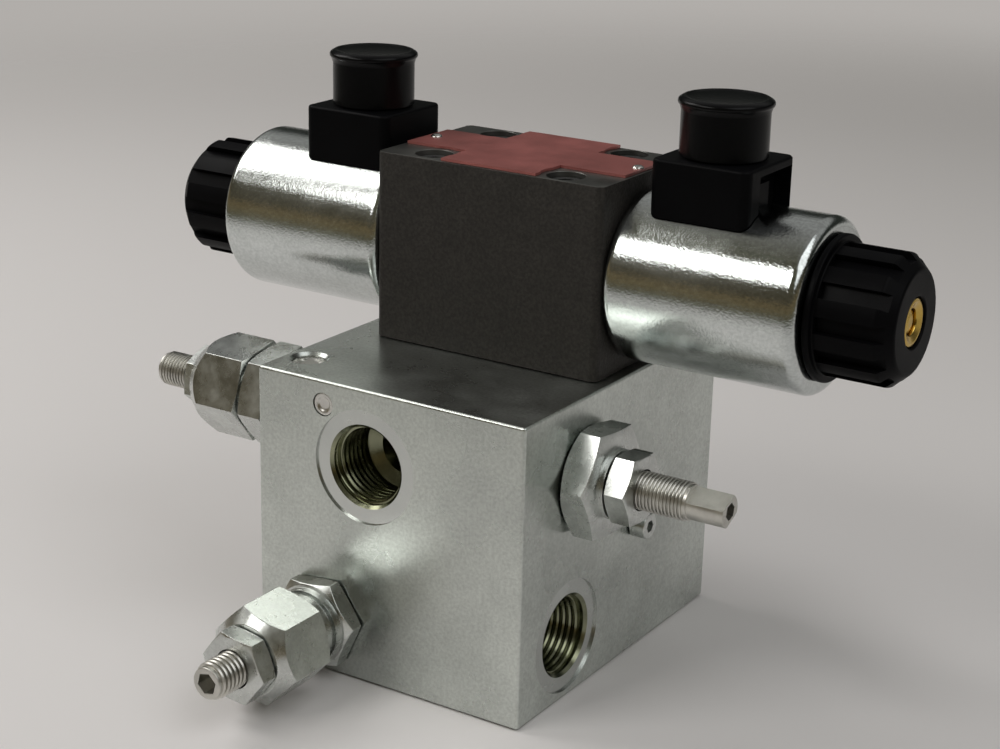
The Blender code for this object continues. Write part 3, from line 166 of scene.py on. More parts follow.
# The wall begins a little before the side and is whole this far towards the back.
WALL_REACH = (-0.15, 0.45)
PALE_BACKGROUND = (0.44, 0.42, 0.40, 1.0)


def make_room():
    """Light the world from a wall behind and a dim room in front."""
    world = bpy.data.worlds.new("room")
    bpy.context.scene.world = world
    world.use_nodes = True
    tree = world.node_tree
    tree.nodes.clear()
    direction = add_node(tree, "ShaderNodeTexCoord")
    split = add_node(tree, "ShaderNodeSeparateXYZ")
    wire(direction.outputs["Generated"], split.inputs[0])
    height = add_range(tree, split.outputs["Z"], (-1.0, 1.0))
    behind = add_range(tree, split.outputs["Y"], WALL_REACH)
    around = add_mix(tree, behind, add_ramp(tree, height, ROOM_HEIGHTS))
    wire(add_ramp(tree, height, WALL_HEIGHTS), around.inputs["B"])
    path = add_node(tree, "ShaderNodeLightPath")
    seen = add_mix(tree, path.outputs["Is Camera Ray"], around.outputs["Result"])
    seen.inputs["B"].default_value = PALE_BACKGROUND
    glow = add_node(tree, "ShaderNodeBackground")
    wire(seen.outputs["Result"], glow.inputs["Color"])
    out = add_node(tree, "ShaderNodeOutputWorld")
    wire(glow.outputs["Background"], out.inputs["Surface"])


make_room()


# %% Lamps
OBJECT_MIDDLE = (0.0, 0.0, 0.08)
# Name, place, point that it faces, size, power and colour.
LAMPS = (
    ("window", (-0.40, -0.74, 0.82), OBJECT_MIDDLE, (0.56, 0.27), 3.1, (1.0, 0.985, 0.96)),
    ("table lamp", (-0.80, -0.10, 0.75), (-0.30, 0.10, 0.0), (0.60, 0.60), 4.0, (1.0, 0.98, 0.96)),
    ("soft fill", (0.85, -0.25, 1.15), OBJECT_MIDDLE, (1.20, 1.20), 6.5, (0.97, 0.985, 1.0)),
)


def add_lamp(name, place, target, size, power, color):
    """Add a soft rectangular lamp that faces a point."""
    data = bpy.data.lights.new(name, "AREA")
    data.shape = "RECTANGLE"
    data.size, data.size_y = size
    data.energy = power
    data.color = color
    lamp = bpy.data.objects.new(name, data)
    lamp.location = place
    lamp.rotation_euler = (Vector(target) - Vector(place)).to_track_quat("-Z", "Y").to_euler()
    bpy.context.scene.collection.objects.link(lamp)


for lamp in LAMPS:
    add_lamp(*lamp)
print("lamps:", len(LAMPS))

# %% The table


TABLE_REACH = 3.0
TABLE_GAP = 0.3 * MM
TABLE_COLOR = (0.80, 0.775, 0.77, 1.0)
# The table fades out between two distances from a point behind the valve.
FADE_MIDDLE = (0.0, 0.32, 0.0)
FADE = (0.40, 1.00)


def make_table():
    """Lay a pale table that keeps the shadow of the valve."""
    bm = bmesh.new()
    bmesh.ops.create_grid(bm, x_segments=1, y_segments=1, size=TABLE_REACH)
    mesh = bpy.data.meshes.new("table")
    bm.to_mesh(mesh)
    bm.free()
    table = bpy.data.objects.new("table", mesh)
    table.location = (0.0, 0.0, -TABLE_GAP)
    bpy.context.scene.collection.objects.link(table)
    material = bpy.data.materials.new("pale table")
    material.use_nodes = True
    tree = material.node_tree
    shader = tree.nodes["Principled BSDF"]
    shader.inputs["Base Color"].default_value = TABLE_COLOR
    shader.inputs["Roughness"].default_value = 0.55
    shader.inputs["Specular IOR Level"].default_value = 0.25
    place = add_node(tree, "ShaderNodeTexCoord")
    distance = add_node(tree, "ShaderNodeVectorMath", operation="DISTANCE")
    distance.inputs[1].default_value = FADE_MIDDLE
    wire(place.outputs["Object"], distance.inputs[0])
    wire(add_range(tree, distance.outputs["Value"], FADE, (1.0, 0.0), interpolation_type="SMOOTHSTEP"),
         shader.inputs["Alpha"])
    mesh.materials.append(material)


make_table()

# %% [markdown]
# Every finish below is a Principled shader with noises in Object coordinates. One noise clouds the
# colour and the gloss over centimetres, one sets specks, one makes the fine grain that a bump turns
# into sparkle, and worn metal gets a few stretched scratches.

# %% Finishes
CLOUD_LIMITS = (0.3, 0.7)
DOT_LIMITS = (0.35, 0.65)
DOT_SIZE = 1100.0
SCRATCH_STRETCH = (3000.0, 3000.0, 60.0)
SCRATCH_DEPTH = 0.05 * MM


def add_noise(tree, place, size, detail, roughness):
    """Add a noise at a place output, and return its value."""
    node = add_node(tree, "ShaderNodeTexNoise", Scale=size, Detail=detail, Roughness=roughness)
    wire(place, node.inputs["Vector"])
    return node.outputs["Fac"]


def make_finish(name, color, roughness, metallic, cloud=0.15, cloud_size=40.0, rough_cloud=0.06,
                grain=0.1, grain_size=4000.0, relief=0.05, speck=0.0, scratch=0.0, coat=0.0,
                specular=0.5):
    """Make a material with clouded colour and gloss, specks, a fine grain and scratches."""
    material = bpy.data.materials.new(name)
    material.use_nodes = True
    tree = material.node_tree
    shader = tree.nodes["Principled BSDF"]
    shader.inputs["Metallic"].default_value = metallic
    shader.inputs["Specular IOR Level"].default_value = specular
    shader.inputs["Coat Weight"].default_value = coat
    shader.inputs["Coat Roughness"].default_value = 0.08
    place = add_node(tree, "ShaderNodeTexCoord").outputs["Object"]
    clouds = add_noise(tree, place, cloud_size, 5.0, 0.6)
    tone = add_range(tree, clouds, CLOUD_LIMITS, (1.0 - cloud, 1.0 + cloud))
    dots = add_noise(tree, place, DOT_SIZE, 2.0, 0.7)
    spots = add_range(tree, dots, DOT_LIMITS, (1.0 - speck, 1.0 + speck))
    tint = add_node(tree, "ShaderNodeVectorMath", operation="SCALE")
    tint.inputs[0].default_value = color
    wire(add_math(tree, "MULTIPLY", tone, spots), tint.inputs["Scale"])
    wire(tint.outputs["Vector"], shader.inputs["Base Color"])
    gloss = add_range(tree, clouds, CLOUD_LIMITS, (roughness - rough_cloud, roughness + rough_cloud))
    wire(gloss, shader.inputs["Roughness"])
    raised = add_node(tree, "ShaderNodeBump", Strength=grain, Distance=relief * MM)
    wire(add_noise(tree, place, grain_size, 3.0, 0.6), raised.inputs["Height"])
    if scratch:
        stretch = add_node(tree, "ShaderNodeMapping")
        stretch.inputs["Scale"].default_value = SCRATCH_STRETCH
        wire(place, stretch.inputs["Vector"])
        lines = add_noise(tree, stretch.outputs["Vector"], 1.0, 2.0, 0.5)
        groove = add_node(tree, "ShaderNodeBump", Strength=scratch, Distance=SCRATCH_DEPTH)
        wire(lines, groove.inputs["Height"])
        wire(raised.outputs["Normal"], groove.inputs["Normal"])
        raised = groove
    wire(raised.outputs["Normal"], shader.inputs["Normal"])
    return material


ZINC_BLOCK = make_finish(
    "zinc plated block", (0.56, 0.59, 0.56), 0.29, 1.0, cloud=0.20, cloud_size=28.0,
    rough_cloud=0.10, grain=0.35, grain_size=2200.0, speck=0.10, scratch=0.14)
ZINC_RING = make_finish(
    "machined ring", (0.60, 0.62, 0.60), 0.24, 1.0, cloud=0.10, cloud_size=90.0, grain=0.20,
    grain_size=3500.0)
ZINC_SCREW = make_finish(
    "zinc plated fittings", (0.60, 0.62, 0.60), 0.28, 1.0, cloud=0.16, cloud_size=130.0,
    rough_cloud=0.08, grain=0.20, grain_size=3000.0, speck=0.06)
ZINC_STUD = make_finish(
    "zinc plated stud", (0.58, 0.57, 0.53), 0.36, 1.0, cloud_size=200.0, grain=0.15)
PASSIVATED = make_finish(
    "passivated plug", (0.36, 0.30, 0.20), 0.36, 1.0, cloud=0.2, cloud_size=150.0, rough_cloud=0.08,
    grain=0.2)
# Painted shade and painted reflection: the port bores and threads are coloured dark olive for the shade
# in the hollow and the warm room mirrored there.
PORT_SHADE_AND_REFLECTION = make_finish(
    "passivated thread", (0.27, 0.28, 0.19), 0.22, 1.0, cloud=0.30, cloud_size=150.0,
    rough_cloud=0.08)
CAST_IRON = make_finish(
    "phosphated iron", (0.029, 0.026, 0.023), 0.60, 0.35, cloud=0.18, cloud_size=150.0,
    rough_cloud=0.10, grain=1.0, grain_size=1100.0, relief=0.22, speck=0.30)
GROUND_IRON = make_finish(
    "ground iron", (0.16, 0.16, 0.15), 0.42, 0.9, cloud=0.2, cloud_size=90.0, rough_cloud=0.08,
    grain=0.2, grain_size=3500.0)
COIL_CHROME = make_finish(
    "bright coil case", (0.60, 0.63, 0.62), 0.15, 1.0, cloud=0.10, cloud_size=60.0, grain=0.8,
    grain_size=1500.0, relief=0.06, speck=0.10)
BLACK_MOULDED = make_finish(
    "black moulding", (0.0030, 0.0030, 0.0036), 0.42, 0.0, grain=0.35, grain_size=3500.0,
    specular=0.05)
BLACK_GLOSSY = make_finish(
    "black cap", (0.0025, 0.0025, 0.0030), 0.24, 0.0, cloud=0.10, rough_cloud=0.05, grain=0.05,
    grain_size=1500.0, specular=0.13)
BRASS = make_finish("brass", (0.62, 0.42, 0.10), 0.22, 1.0, cloud_size=200.0)
RED_PLATE = make_finish(
    "red plate", (0.40, 0.130, 0.118), 0.38, 0.35, cloud_size=70.0, rough_cloud=0.08, grain=0.12,
    grain_size=2500.0, scratch=0.25, coat=0.25)
BRIGHT_STEEL = make_finish(
    "bright steel", (0.62, 0.61, 0.58), 0.26, 1.0, cloud=0.12, cloud_size=150.0)
DARK_STEEL = make_finish(
    "dark steel", (0.10, 0.10, 0.10), 0.38, 0.9, cloud=0.2, cloud_size=150.0, grain=0.2)
RUBBER = make_finish("rubber", (0.012, 0.012, 0.012), 0.7, 0.0, grain=0.3)
print("finishes:", len(bpy.data.materials))

# %% [markdown]
# Most pieces were turned on a lathe, so they are made here as a lathe makes them: an outline of
# radius against distance is spun round an axis. Hexagons are milled from the turned blank by a
# Boolean cut, which leaves the curved chamfer lines that a real nut has.

# %% Lathe, mill and file
FINEST = 128
FINE = 96
ROUND = 64
UP = Vector((0.0, 0.0, 1.0))
SAME_PLACE = 1e-6
LONGEST_ROUND = 0.45


def pointing(origin, outward):
    """Return the frame at a point whose local Z is the outward direction, and local Y is up."""
    z_axis = Vector(outward).normalized()
    if abs(z_axis.dot(UP)) > 0.5:
        return Matrix.Translation(origin)
    turn = Matrix((UP.cross(z_axis), UP, z_axis)).transposed()
    return Matrix.Translation(origin) @ turn.to_4x4()


def link_object(name, mesh):
    """Put a mesh in the scene as an object."""
    piece = bpy.data.objects.new(name, mesh)
    bpy.context.scene.collection.objects.link(piece)
    return piece


def to_object(name, bm, place=None, material=None):
    """Turn a bmesh into an object with its place in its mesh."""
    bmesh.ops.recalc_face_normals(bm, faces=bm.faces)
    if place is not None:
        bmesh.ops.transform(bm, matrix=place, verts=bm.verts)
    mesh = bpy.data.meshes.new(name)
    bm.to_mesh(mesh)
    bm.free()
    if material is not None:
        mesh.materials.append(material)
    return link_object(name, mesh)


def mm(points):
    """Turn (radius, distance) points in millimetres into metres."""
    return [(radius * MM, along * MM) for radius, along in points]


def turned(outline, sides=FINE):
    """Spin an outline of (radius, distance) points round local Z into a closed solid."""
    bm = bmesh.new()
    verts = [bm.verts.new((radius, 0.0, along)) for radius, along in outline]
    edges = [bm.edges.new(pair) for pair in zip(verts, verts[1:])]
    if outline[0][0] > 0.0 or outline[-1][0] > 0.0:
        edges.append(bm.edges.new((verts[-1], verts[0])))
    bmesh.ops.spin(bm, geom=verts + edges, axis=(0, 0, 1), cent=(0, 0, 0), angle=math.tau, steps=sides,
                   use_merge=True)
    bmesh.ops.remove_doubles(bm, verts=bm.verts, dist=SAME_PLACE)
    return bm


def rounded(outline, radius, steps=6):
    """Round every sharp corner of an outline, apart from its two ends."""
    result = [outline[0]]
    for before, here, after in zip(outline, outline[1:], outline[2:]):
        corner = Vector(here)
        back, ahead = Vector(before) - corner, Vector(after) - corner
        reach = min(radius, back.length * LONGEST_ROUND, ahead.length * LONGEST_ROUND)
        if reach < SAME_PLACE:
            result.append(here)
            continue
        first, last = corner + back.normalized() * reach, corner + ahead.normalized() * reach
        for step in range(steps + 1):
            share = step / steps
            bend = first * (1 - share) ** 2 + corner * 2 * share * (1 - share) + last * share ** 2
            result.append(tuple(bend))
    result.append(outline[-1])
    return result


def prism(corners, low, high):
    """Extrude flat corners along local Z."""
    bm = bmesh.new()
    base = bm.faces.new([bm.verts.new((x, y, low)) for x, y in corners])
    top = bmesh.ops.extrude_face_region(bm, geom=[base])["geom"]
    bmesh.ops.translate(bm, verts=[item for item in top if isinstance(item, bmesh.types.BMVert)],
                        vec=(0, 0, high - low))
    return bm


def hexagon(across_flats, turn_degrees=0.0):
    """Return the corners of a hexagon."""
    radius = across_flats / math.sqrt(3)
    angles = [math.radians(turn_degrees + 60.0 * k) for k in range(6)]
    return [(radius * math.cos(angle), radius * math.sin(angle)) for angle in angles]


def block_shape(size, centre):
    """Make a box of a size round a centre."""
    bm = bmesh.new()
    bmesh.ops.create_cube(bm, size=1.0)
    bmesh.ops.scale(bm, verts=bm.verts, vec=size)
    bmesh.ops.translate(bm, verts=bm.verts, vec=centre)
    return bm


def box_object(name, size, centre, material=None):
    """Make a box of a size round a centre as an object."""
    return to_object(name, block_shape(size, centre), None, material)


def moulded_box(size, centre, corner, rim, rim_steps):
    """Make a box with rounded upright corners and a rounded top rim."""
    bm = block_shape(size, centre)
    upright = [edge for edge in bm.edges if abs((edge.verts[0].co - edge.verts[1].co).z) > size[2] / 2]
    bmesh.ops.bevel(bm, geom=upright, offset=corner, segments=6, profile=0.5, affect="EDGES")
    top = centre[2] + size[2] / 2 - 10 * SAME_PLACE
    edges = [edge for edge in bm.edges if min(vert.co.z for vert in edge.verts) > top]
    bmesh.ops.bevel(bm, geom=edges, offset=rim, segments=rim_steps, profile=0.5, affect="EDGES")
    return bm


def settle(piece):
    """Apply a piece's modifiers to its mesh."""
    bpy.context.view_layer.update()
    evaluated = piece.evaluated_get(bpy.context.evaluated_depsgraph_get())
    mesh = bpy.data.meshes.new_from_object(evaluated)
    piece.modifiers.clear()
    old = piece.data
    piece.data = mesh
    bpy.data.meshes.remove(old)
    mesh.name = piece.name


def mill(piece, tools, operation="DIFFERENCE"):
    """Cut a piece with a list of tool objects, which are then removed."""
    for tool in tools:
        modifier = piece.modifiers.new(tool.name, "BOOLEAN")
        modifier.operation = operation
        modifier.solver = "EXACT"
        modifier.material_mode = "TRANSFER"
        modifier.object = tool
    settle(piece)
    for tool in tools:
        bpy.data.objects.remove(tool, do_unlink=True)


def file_edges(piece, width, segments=2, angle=25.0):
    """Break the sharp edges of a piece by a small rounding."""
    modifier = piece.modifiers.new("edges", "BEVEL")
    modifier.width = width
    modifier.segments = segments
    modifier.limit_method = "ANGLE"
    modifier.angle_limit = math.radians(angle)
    settle(piece)


def smooth(piece, angle=40.0):
    """Shade a piece smooth, keep its sharp edges, and keep its large faces flat."""
    piece.data.shade_smooth()
    piece.data.set_sharp_from_angle(angle=math.radians(angle))
    modifier = piece.modifiers.new("flat faces", "WEIGHTED_NORMAL")
    modifier.weight = 100
    modifier.keep_sharp = True
    settle(piece)


def dress(piece, body, slot, *nodes):
    """Let a piece stand for its frame pieces and move with their body."""
    smooth(piece)
    if nodes:
        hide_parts(*nodes)
    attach(piece, body)
    return piece


def middle(node):
    """Return the middle of a frame piece's box."""
    low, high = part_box(node)
    return (Vector(low) + Vector(high)) / 2


def above(node, height=0.0):
    """Return the upright frame at a height over a frame piece's middle."""
    spot = middle(node)
    return Matrix.Translation((spot.x, spot.y, height))


# %% [markdown]
# The block is milled steel. Its outer form and every hole follow the frame, with smooth rims in
# place of the frame's few sides. The two pipe ports have a bright ring round the mouth and a
# screw thread inside, which shows as pale and dark stripes. Inside the ports, the bore and the
# thread are painted dark olive: painted shade of the hollow and a painted warm reflection.

# %% Places on the block
BLOCK_LOW, BLOCK_HIGH = (Vector(corner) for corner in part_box("manifold_block"))
BLOCK_SIZE = BLOCK_HIGH - BLOCK_LOW
BLOCK_MIDDLE = (BLOCK_LOW + BLOCK_HIGH) / 2
MOUTH = 10.4 * MM
PORT_DEPTH = 16.0 * MM
FRONT_PORT = pointing((BLOCK_LOW.x + 33.8 * MM, BLOCK_LOW.y, 59.4 * MM), (0, -1, 0))
RIGHT_PORT = pointing((BLOCK_HIGH.x, BLOCK_LOW.y + 23.3 * MM, 17.0 * MM), (1, 0, 0))
BLOCK_FACES = {
    "left": pointing((BLOCK_LOW.x, BLOCK_LOW.y + 14.5 * MM, 67.0 * MM), (-1, 0, 0)),
    "front": pointing((BLOCK_LOW.x + 20.8 * MM, BLOCK_LOW.y, 14.8 * MM), (0, -1, 0)),
    "right": pointing((BLOCK_HIGH.x, BLOCK_LOW.y + 30.0 * MM, 58.6 * MM), (1, 0, 0)),
}
# How far a cutting tool stands out of what it cuts.
PAST = 2.0 * MM
BOLT_NODES = [f"valve_bolt_{number}" for number in (1, 2, 3, 4)]
# The steps of the block's smaller holes in mm, and for a fitting the way that it faces.
CAVITY = ((10.2, 2.0), (10.2, -2.2), (9.0, -2.2), (9.0, -9.3))
BOLT_HOLE = ((2.8, 2.0), (2.8, -11.3))
FITTINGS = {
    "top_expander_plug": ((0, 0, 1), ((7.3, 2.0), (5.3, 0.0), (4.5, -0.8), (4.5, -2.8))),
    "front_expander_plug": ((0, -1, 0), ((3.1, 2.0), (3.1, -2.1))),
    "side_cap_screw": ((1, 0, 0), ((2.3, 2.0), (2.3, -10.3))),
    "back_plug": ((0, 1, 0), ((5.5, 2.0), (5.5, -12.3))),
}


def on_face(node):
    """Return the frame where a fitting's axis meets the block's face."""
    outward = FITTINGS[node][0]
    spot = middle(node)
    for axis, way in enumerate(outward):
        if way:
            spot[axis] = (BLOCK_HIGH if way > 0 else BLOCK_LOW)[axis]
    return pointing(spot, outward)


def hole(name, place, outline, material=None, sides=ROUND):
    """Make a round stepped cutting tool from (radius, distance) points."""
    first, last = outline[0][1], outline[-1][1]
    return to_object(name, turned([(0.0, first), *outline, (0.0, last)], sides), place, material)


def port_tools(name, place):
    """Make the tools for one pipe port: a bright ring face, then chamfer, mouth and drilling."""
    ring = hole(f"{name} ring", place, [(15.2 * MM, PAST), (15.2 * MM, -0.6 * MM)], ZINC_RING, FINE)
    # The bore's walls take the dark olive colour of painted shade and painted reflection.
    bore = hole(f"{name} bore", place, [
        (MOUTH + 3.4 * MM, PAST), (MOUTH + 0.8 * MM, -0.6 * MM), (MOUTH, -1.4 * MM),
        (MOUTH, -PORT_DEPTH), (7.0 * MM, -PORT_DEPTH - 1.7 * MM), (7.0 * MM, -26.0 * MM),
        (1.8 * MM, -29.5 * MM)], PORT_SHADE_AND_REFLECTION, FINE)
    return [ring, bore]


def make_block():
    """Make the block with rounded edges and all its openings."""
    bm = block_shape(BLOCK_SIZE, BLOCK_MIDDLE)
    bmesh.ops.bevel(bm, geom=list(bm.edges), offset=0.8 * MM, segments=3, profile=0.5, affect="EDGES")
    block = to_object("block", bm, None, ZINC_BLOCK)
    tools = [*port_tools("front port", FRONT_PORT), *port_tools("right port", RIGHT_PORT)]
    for side in SCREW_SIDES:
        tools.append(hole(f"{side} cavity tool", BLOCK_FACES[side], mm(CAVITY)))
    for node, (_, steps) in FITTINGS.items():
        tools.append(hole(f"{node} tool", on_face(node), mm(steps)))
    for node in BOLT_NODES:
        tools.append(hole(f"{node} tool", above(node, BLOCK_HIGH.z), mm(BOLT_HOLE)))
    mill(block, tools)
    return dress(block, "valve_unit", "zinc", "manifold_block")


print("block faces:", len(make_block().data.polygons))

# %% [markdown]
# A screw thread is one ridge that climbs round a cylinder. Geometry Nodes make it from a spiral
# curve and a small oval that is swept along it. At both ends the oval shrinks to nothing, as a
# cut thread runs out. The same tree serves the ports and the studs.

# %% Tree helpers
SOCKET_KINDS = {float: "NodeSocketFloat", int: "NodeSocketInt"}


def start_tree(name, takes_geometry, **inputs):
    """Begin a geometry tree with named inputs and a Finish, and return it and its input outputs."""
    tree = bpy.data.node_groups.new(name, "GeometryNodeTree")
    face = tree.interface
    if takes_geometry:
        face.new_socket("Geometry", in_out="INPUT", socket_type="NodeSocketGeometry")
    face.new_socket("Geometry", in_out="OUTPUT", socket_type="NodeSocketGeometry")
    for key, value in inputs.items():
        title = key.replace("_", " ")
        if isinstance(value, str):
            face.new_socket(title, in_out="INPUT", socket_type=value)
        else:
            socket = face.new_socket(title, in_out="INPUT", socket_type=SOCKET_KINDS[type(value)])
            socket.default_value = value
    face.new_socket("Finish", in_out="INPUT", socket_type="NodeSocketMaterial")
    return tree, add_node(tree, "NodeGroupInput").outputs


def end_tree(tree, given, geometry):
    """End a geometry tree: make its copies real, paint them and put them out."""
    real = add_node(tree, "GeometryNodeRealizeInstances")
    wire(geometry, real.inputs["Geometry"])
    paint = add_node(tree, "GeometryNodeSetMaterial")
    wire(real.outputs["Geometry"], paint.inputs["Geometry"])
    wire(given["Finish"], paint.inputs["Material"])
    out = add_node(tree, "NodeGroupOutput")
    wire(paint.outputs["Geometry"], out.inputs["Geometry"])
    return tree


def grow(piece, tree, **inputs):
    """Run a geometry tree on a piece, with its inputs set by name, and keep the plain mesh."""
    modifier = piece.modifiers.new("tree", "NODES")
    modifier.node_group = tree
    for socket in tree.interface.items_tree:
        key = socket.name.replace(" ", "_")
        if socket.in_out == "INPUT" and key in inputs:
            modifier[socket.identifier] = inputs[key]
    settle(piece)
    return piece


# %% Thread tree
TURN_STEPS = 48
RIDGE_SIDES = 8
# A thread swells to its full size over this many turns at each end, from this share of it.
RUN_OUT_TURNS = 0.6
RUN_OUT_SHARE = 0.05
RIDGE_WIDTH = 0.4


def make_thread_tree():
    """Build the node tree of a screw thread with named sizes."""
    tree, given = start_tree("screw thread", False, Root_Radius=0.005, Pitch=0.001, Length=0.01,
                             Depth=0.0005, Width=0.0004)
    turns = add_math(tree, "DIVIDE", given["Length"], given["Pitch"])
    spiral = add_node(tree, "GeometryNodeCurveSpiral", Resolution=TURN_STEPS)
    wire(turns, spiral.inputs["Rotations"])
    wire(given["Root Radius"], spiral.inputs["Start Radius"])
    wire(given["Root Radius"], spiral.inputs["End Radius"])
    wire(given["Length"], spiral.inputs["Height"])
    upright = add_node(tree, "GeometryNodeSetCurveNormal", mode="Z_UP")
    wire(spiral.outputs["Curve"], upright.inputs["Curve"])
    along = add_node(tree, "GeometryNodeSplineParameter")
    from_start = add_math(tree, "MULTIPLY", along.outputs["Factor"], turns)
    to_end = add_math(tree, "SUBTRACT", turns, from_start)
    nearest = add_math(tree, "MINIMUM", from_start, to_end)
    swell = add_range(tree, nearest, (0.0, RUN_OUT_TURNS), (RUN_OUT_SHARE, 1.0))
    ring = add_node(tree, "GeometryNodeCurvePrimitiveCircle", Resolution=RIDGE_SIDES, Radius=1.0)
    size = add_node(tree, "ShaderNodeCombineXYZ", Z=1.0)
    wire(given["Depth"], size.inputs["X"])
    wire(given["Width"], size.inputs["Y"])
    oval = add_node(tree, "GeometryNodeTransform")
    wire(ring.outputs["Curve"], oval.inputs["Geometry"])
    wire(size.outputs["Vector"], oval.inputs["Scale"])
    sweep = add_node(tree, "GeometryNodeCurveToMesh", Fill_Caps=True)
    wire(upright.outputs["Curve"], sweep.inputs["Curve"])
    wire(oval.outputs["Geometry"], sweep.inputs["Profile Curve"])
    wire(swell, sweep.inputs["Scale"])
    return end_tree(tree, given, sweep.outputs["Mesh"])


THREAD_TREE = make_thread_tree()


def add_thread(name, body, slot, place, low, length, root, depth, pitch, material):
    """Add a thread ridge round local Z, from a distance low along it."""
    thread = grow(link_object(name, bpy.data.meshes.new(name)), THREAD_TREE, Root_Radius=root,
                  Pitch=pitch, Length=length, Depth=depth, Width=pitch * RIDGE_WIDTH, Finish=material)
    thread.data.transform(place @ Matrix.Translation((0, 0, low)))
    print(name, "size in mm:", [round(value / MM, 1) for value in thread.dimensions])
    return dress(thread, body, slot)


# %% Port threads
PIPE_PITCH = 1.814 * MM
PIPE_THREAD_DEPTH = 1.0 * MM
# The port threads take the same dark olive colour of painted shade and painted reflection.
for name, place in (("front_port_thread", FRONT_PORT), ("right_port_thread", RIGHT_PORT)):
    add_thread(name, "valve_unit", "zinc", place, -PORT_DEPTH + PIPE_PITCH,
               PORT_DEPTH - 2.2 * PIPE_PITCH, MOUTH, PIPE_THREAD_DEPTH, PIPE_PITCH, PORT_SHADE_AND_REFLECTION)
print("port threads cut")

# %% [markdown]
# The plugs and the small cap screw that close the block's drillings are turned, then the screw
# and the back plug get their hexagon sockets.

# %% Plugs and small screws


def cap_screw(radius, head_radius, head_height, tip, seat, edge):
    """Outline of a cap screw with its head on the height seat, from sizes in mm."""
    top = seat + head_height
    return rounded(mm(((0.0, tip), (radius, tip), (radius, seat), (head_radius, seat),
                       (head_radius, top), (0.0, top))), edge * MM)


def hexagon_key(size, low, high, place=None):
    """Make the tool that cuts a hexagon socket, from sizes in mm."""
    return to_object("key", prism(hexagon(size * MM), low * MM, high * MM), place)


def make_plugs():
    """Make the two sunk discs, the side screw and the back plug."""
    for name, node, radius, sink in (("top_plug", "top_expander_plug", 4.35, 1.0),
                                     ("front_plug", "front_expander_plug", 2.95, 0.3)):
        outline = rounded(mm((
            (0.0, -sink - 1.5), (radius, -sink - 1.5), (radius, -sink), (radius * 0.72, -sink),
            (radius * 0.5, -sink - 0.4), (0.0, -sink - 0.4))), 0.2 * MM)
        plug = to_object(name, turned(outline, ROUND), on_face(node), BRIGHT_STEEL)
        dress(plug, "valve_unit", "steel", node)
    for name, node, outline, key, material in (
            ("side_screw", "side_cap_screw", cap_screw(2.0, 3.5, 4.5, -10.0, 0.3, 0.4),
             (3.0, 2.5, 7.0), ZINC_SCREW),
            ("rear_plug", "back_plug", cap_screw(5.2, 7.0, 3.5, -12.0, 0.3, 0.8),
             (5.0, 0.3, 7.0), PASSIVATED)):
        place = on_face(node)
        screw = to_object(name, turned(outline, ROUND), place, material)
        mill(screw, [hexagon_key(*key, place)])
        dress(screw, "valve_unit", "zinc", node)


make_plugs()

# %% [markdown]
# The valve body is an iron casting: rough and nearly black on its sides, and ground to a duller
# grey on top, where the plate lies. Four counterbores take the heads of the mounting bolts.

# %% Valve body
VALVE_LOW, VALVE_HIGH = (Vector(corner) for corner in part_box("valve_body"))
VALVE_MIDDLE = (VALVE_LOW + VALVE_HIGH) / 2
AXIS_Z = 104.5 * MM
AXIS = Vector((VALVE_MIDDLE.x, VALVE_MIDDLE.y, AXIS_Z))
END_BORE = 9.8 * MM
COUNTERBORE = ((5.6, 0.5), (5.0, -0.1), (5.0, -6.5), (2.8, -6.5))


def axis_place(side):
    """Return the frame on the valve's middle that points out towards one solenoid."""
    return pointing(AXIS, (SIDES[side], 0, 0))


def make_valve_body():
    """Make the body with rounded upright corners, counterbores and bored ends."""
    size = VALVE_HIGH - VALVE_LOW
    body = to_object("valve_casting", moulded_box(size, VALVE_MIDDLE, 2.2 * MM, 0.5 * MM, 2), None,
                     CAST_IRON)
    tools = [hole(f"{node} tool", above(node, VALVE_HIGH.z), [
        *mm(COUNTERBORE), (COUNTERBORE[-1][0] * MM, -size.z - PAST)], GROUND_IRON)
        for node in BOLT_NODES]
    for side in SIDES:
        tools.append(hole(f"{side} bore tool", axis_place(side), [
            (END_BORE, size.x / 2 - 8.0 * MM), (END_BORE, size.x / 2 + PAST)], GROUND_IRON))
    mill(body, tools)
    body.data.materials.append(GROUND_IRON)
    ground = len(body.data.materials) - 1
    for face in body.data.polygons:
        if face.normal.z > 0.6 and face.center.z > VALVE_HIGH.z - 1.0 * MM:
            face.material_index = ground
    return dress(body, "valve_unit", "iron", "valve_body")


print("valve body faces:", len(make_valve_body().data.polygons))

# %% [markdown]
# The four bolts are alike, so one bolt head is set on four points by Geometry Nodes. Each bolt
# is its own frame piece, and the one mesh stands for all of them.

# %% Mounting bolts


def make_scatter_tree():
    """Build a node tree that sets copies of one piece on the points of a mesh."""
    tree, given = start_tree("copies on points", True, Piece="NodeSocketObject")
    item = add_node(tree, "GeometryNodeObjectInfo")
    wire(given["Piece"], item.inputs["Object"])
    copies = add_node(tree, "GeometryNodeInstanceOnPoints")
    wire(given["Geometry"], copies.inputs["Points"])
    wire(item.outputs["Geometry"], copies.inputs["Instance"])
    return end_tree(tree, given, copies.outputs["Instances"])


SCATTER_TREE = make_scatter_tree()


def copies_on_points(name, pattern, points, material):
    """Set copies of a pattern piece on points, as one plain mesh, and remove the pattern."""
    mesh = bpy.data.meshes.new(name)
    mesh.from_pydata([tuple(point) for point in points], [], [])
    piece = grow(link_object(name, mesh), SCATTER_TREE, Piece=pattern, Finish=material)
    bpy.data.objects.remove(pattern, do_unlink=True)
    return piece


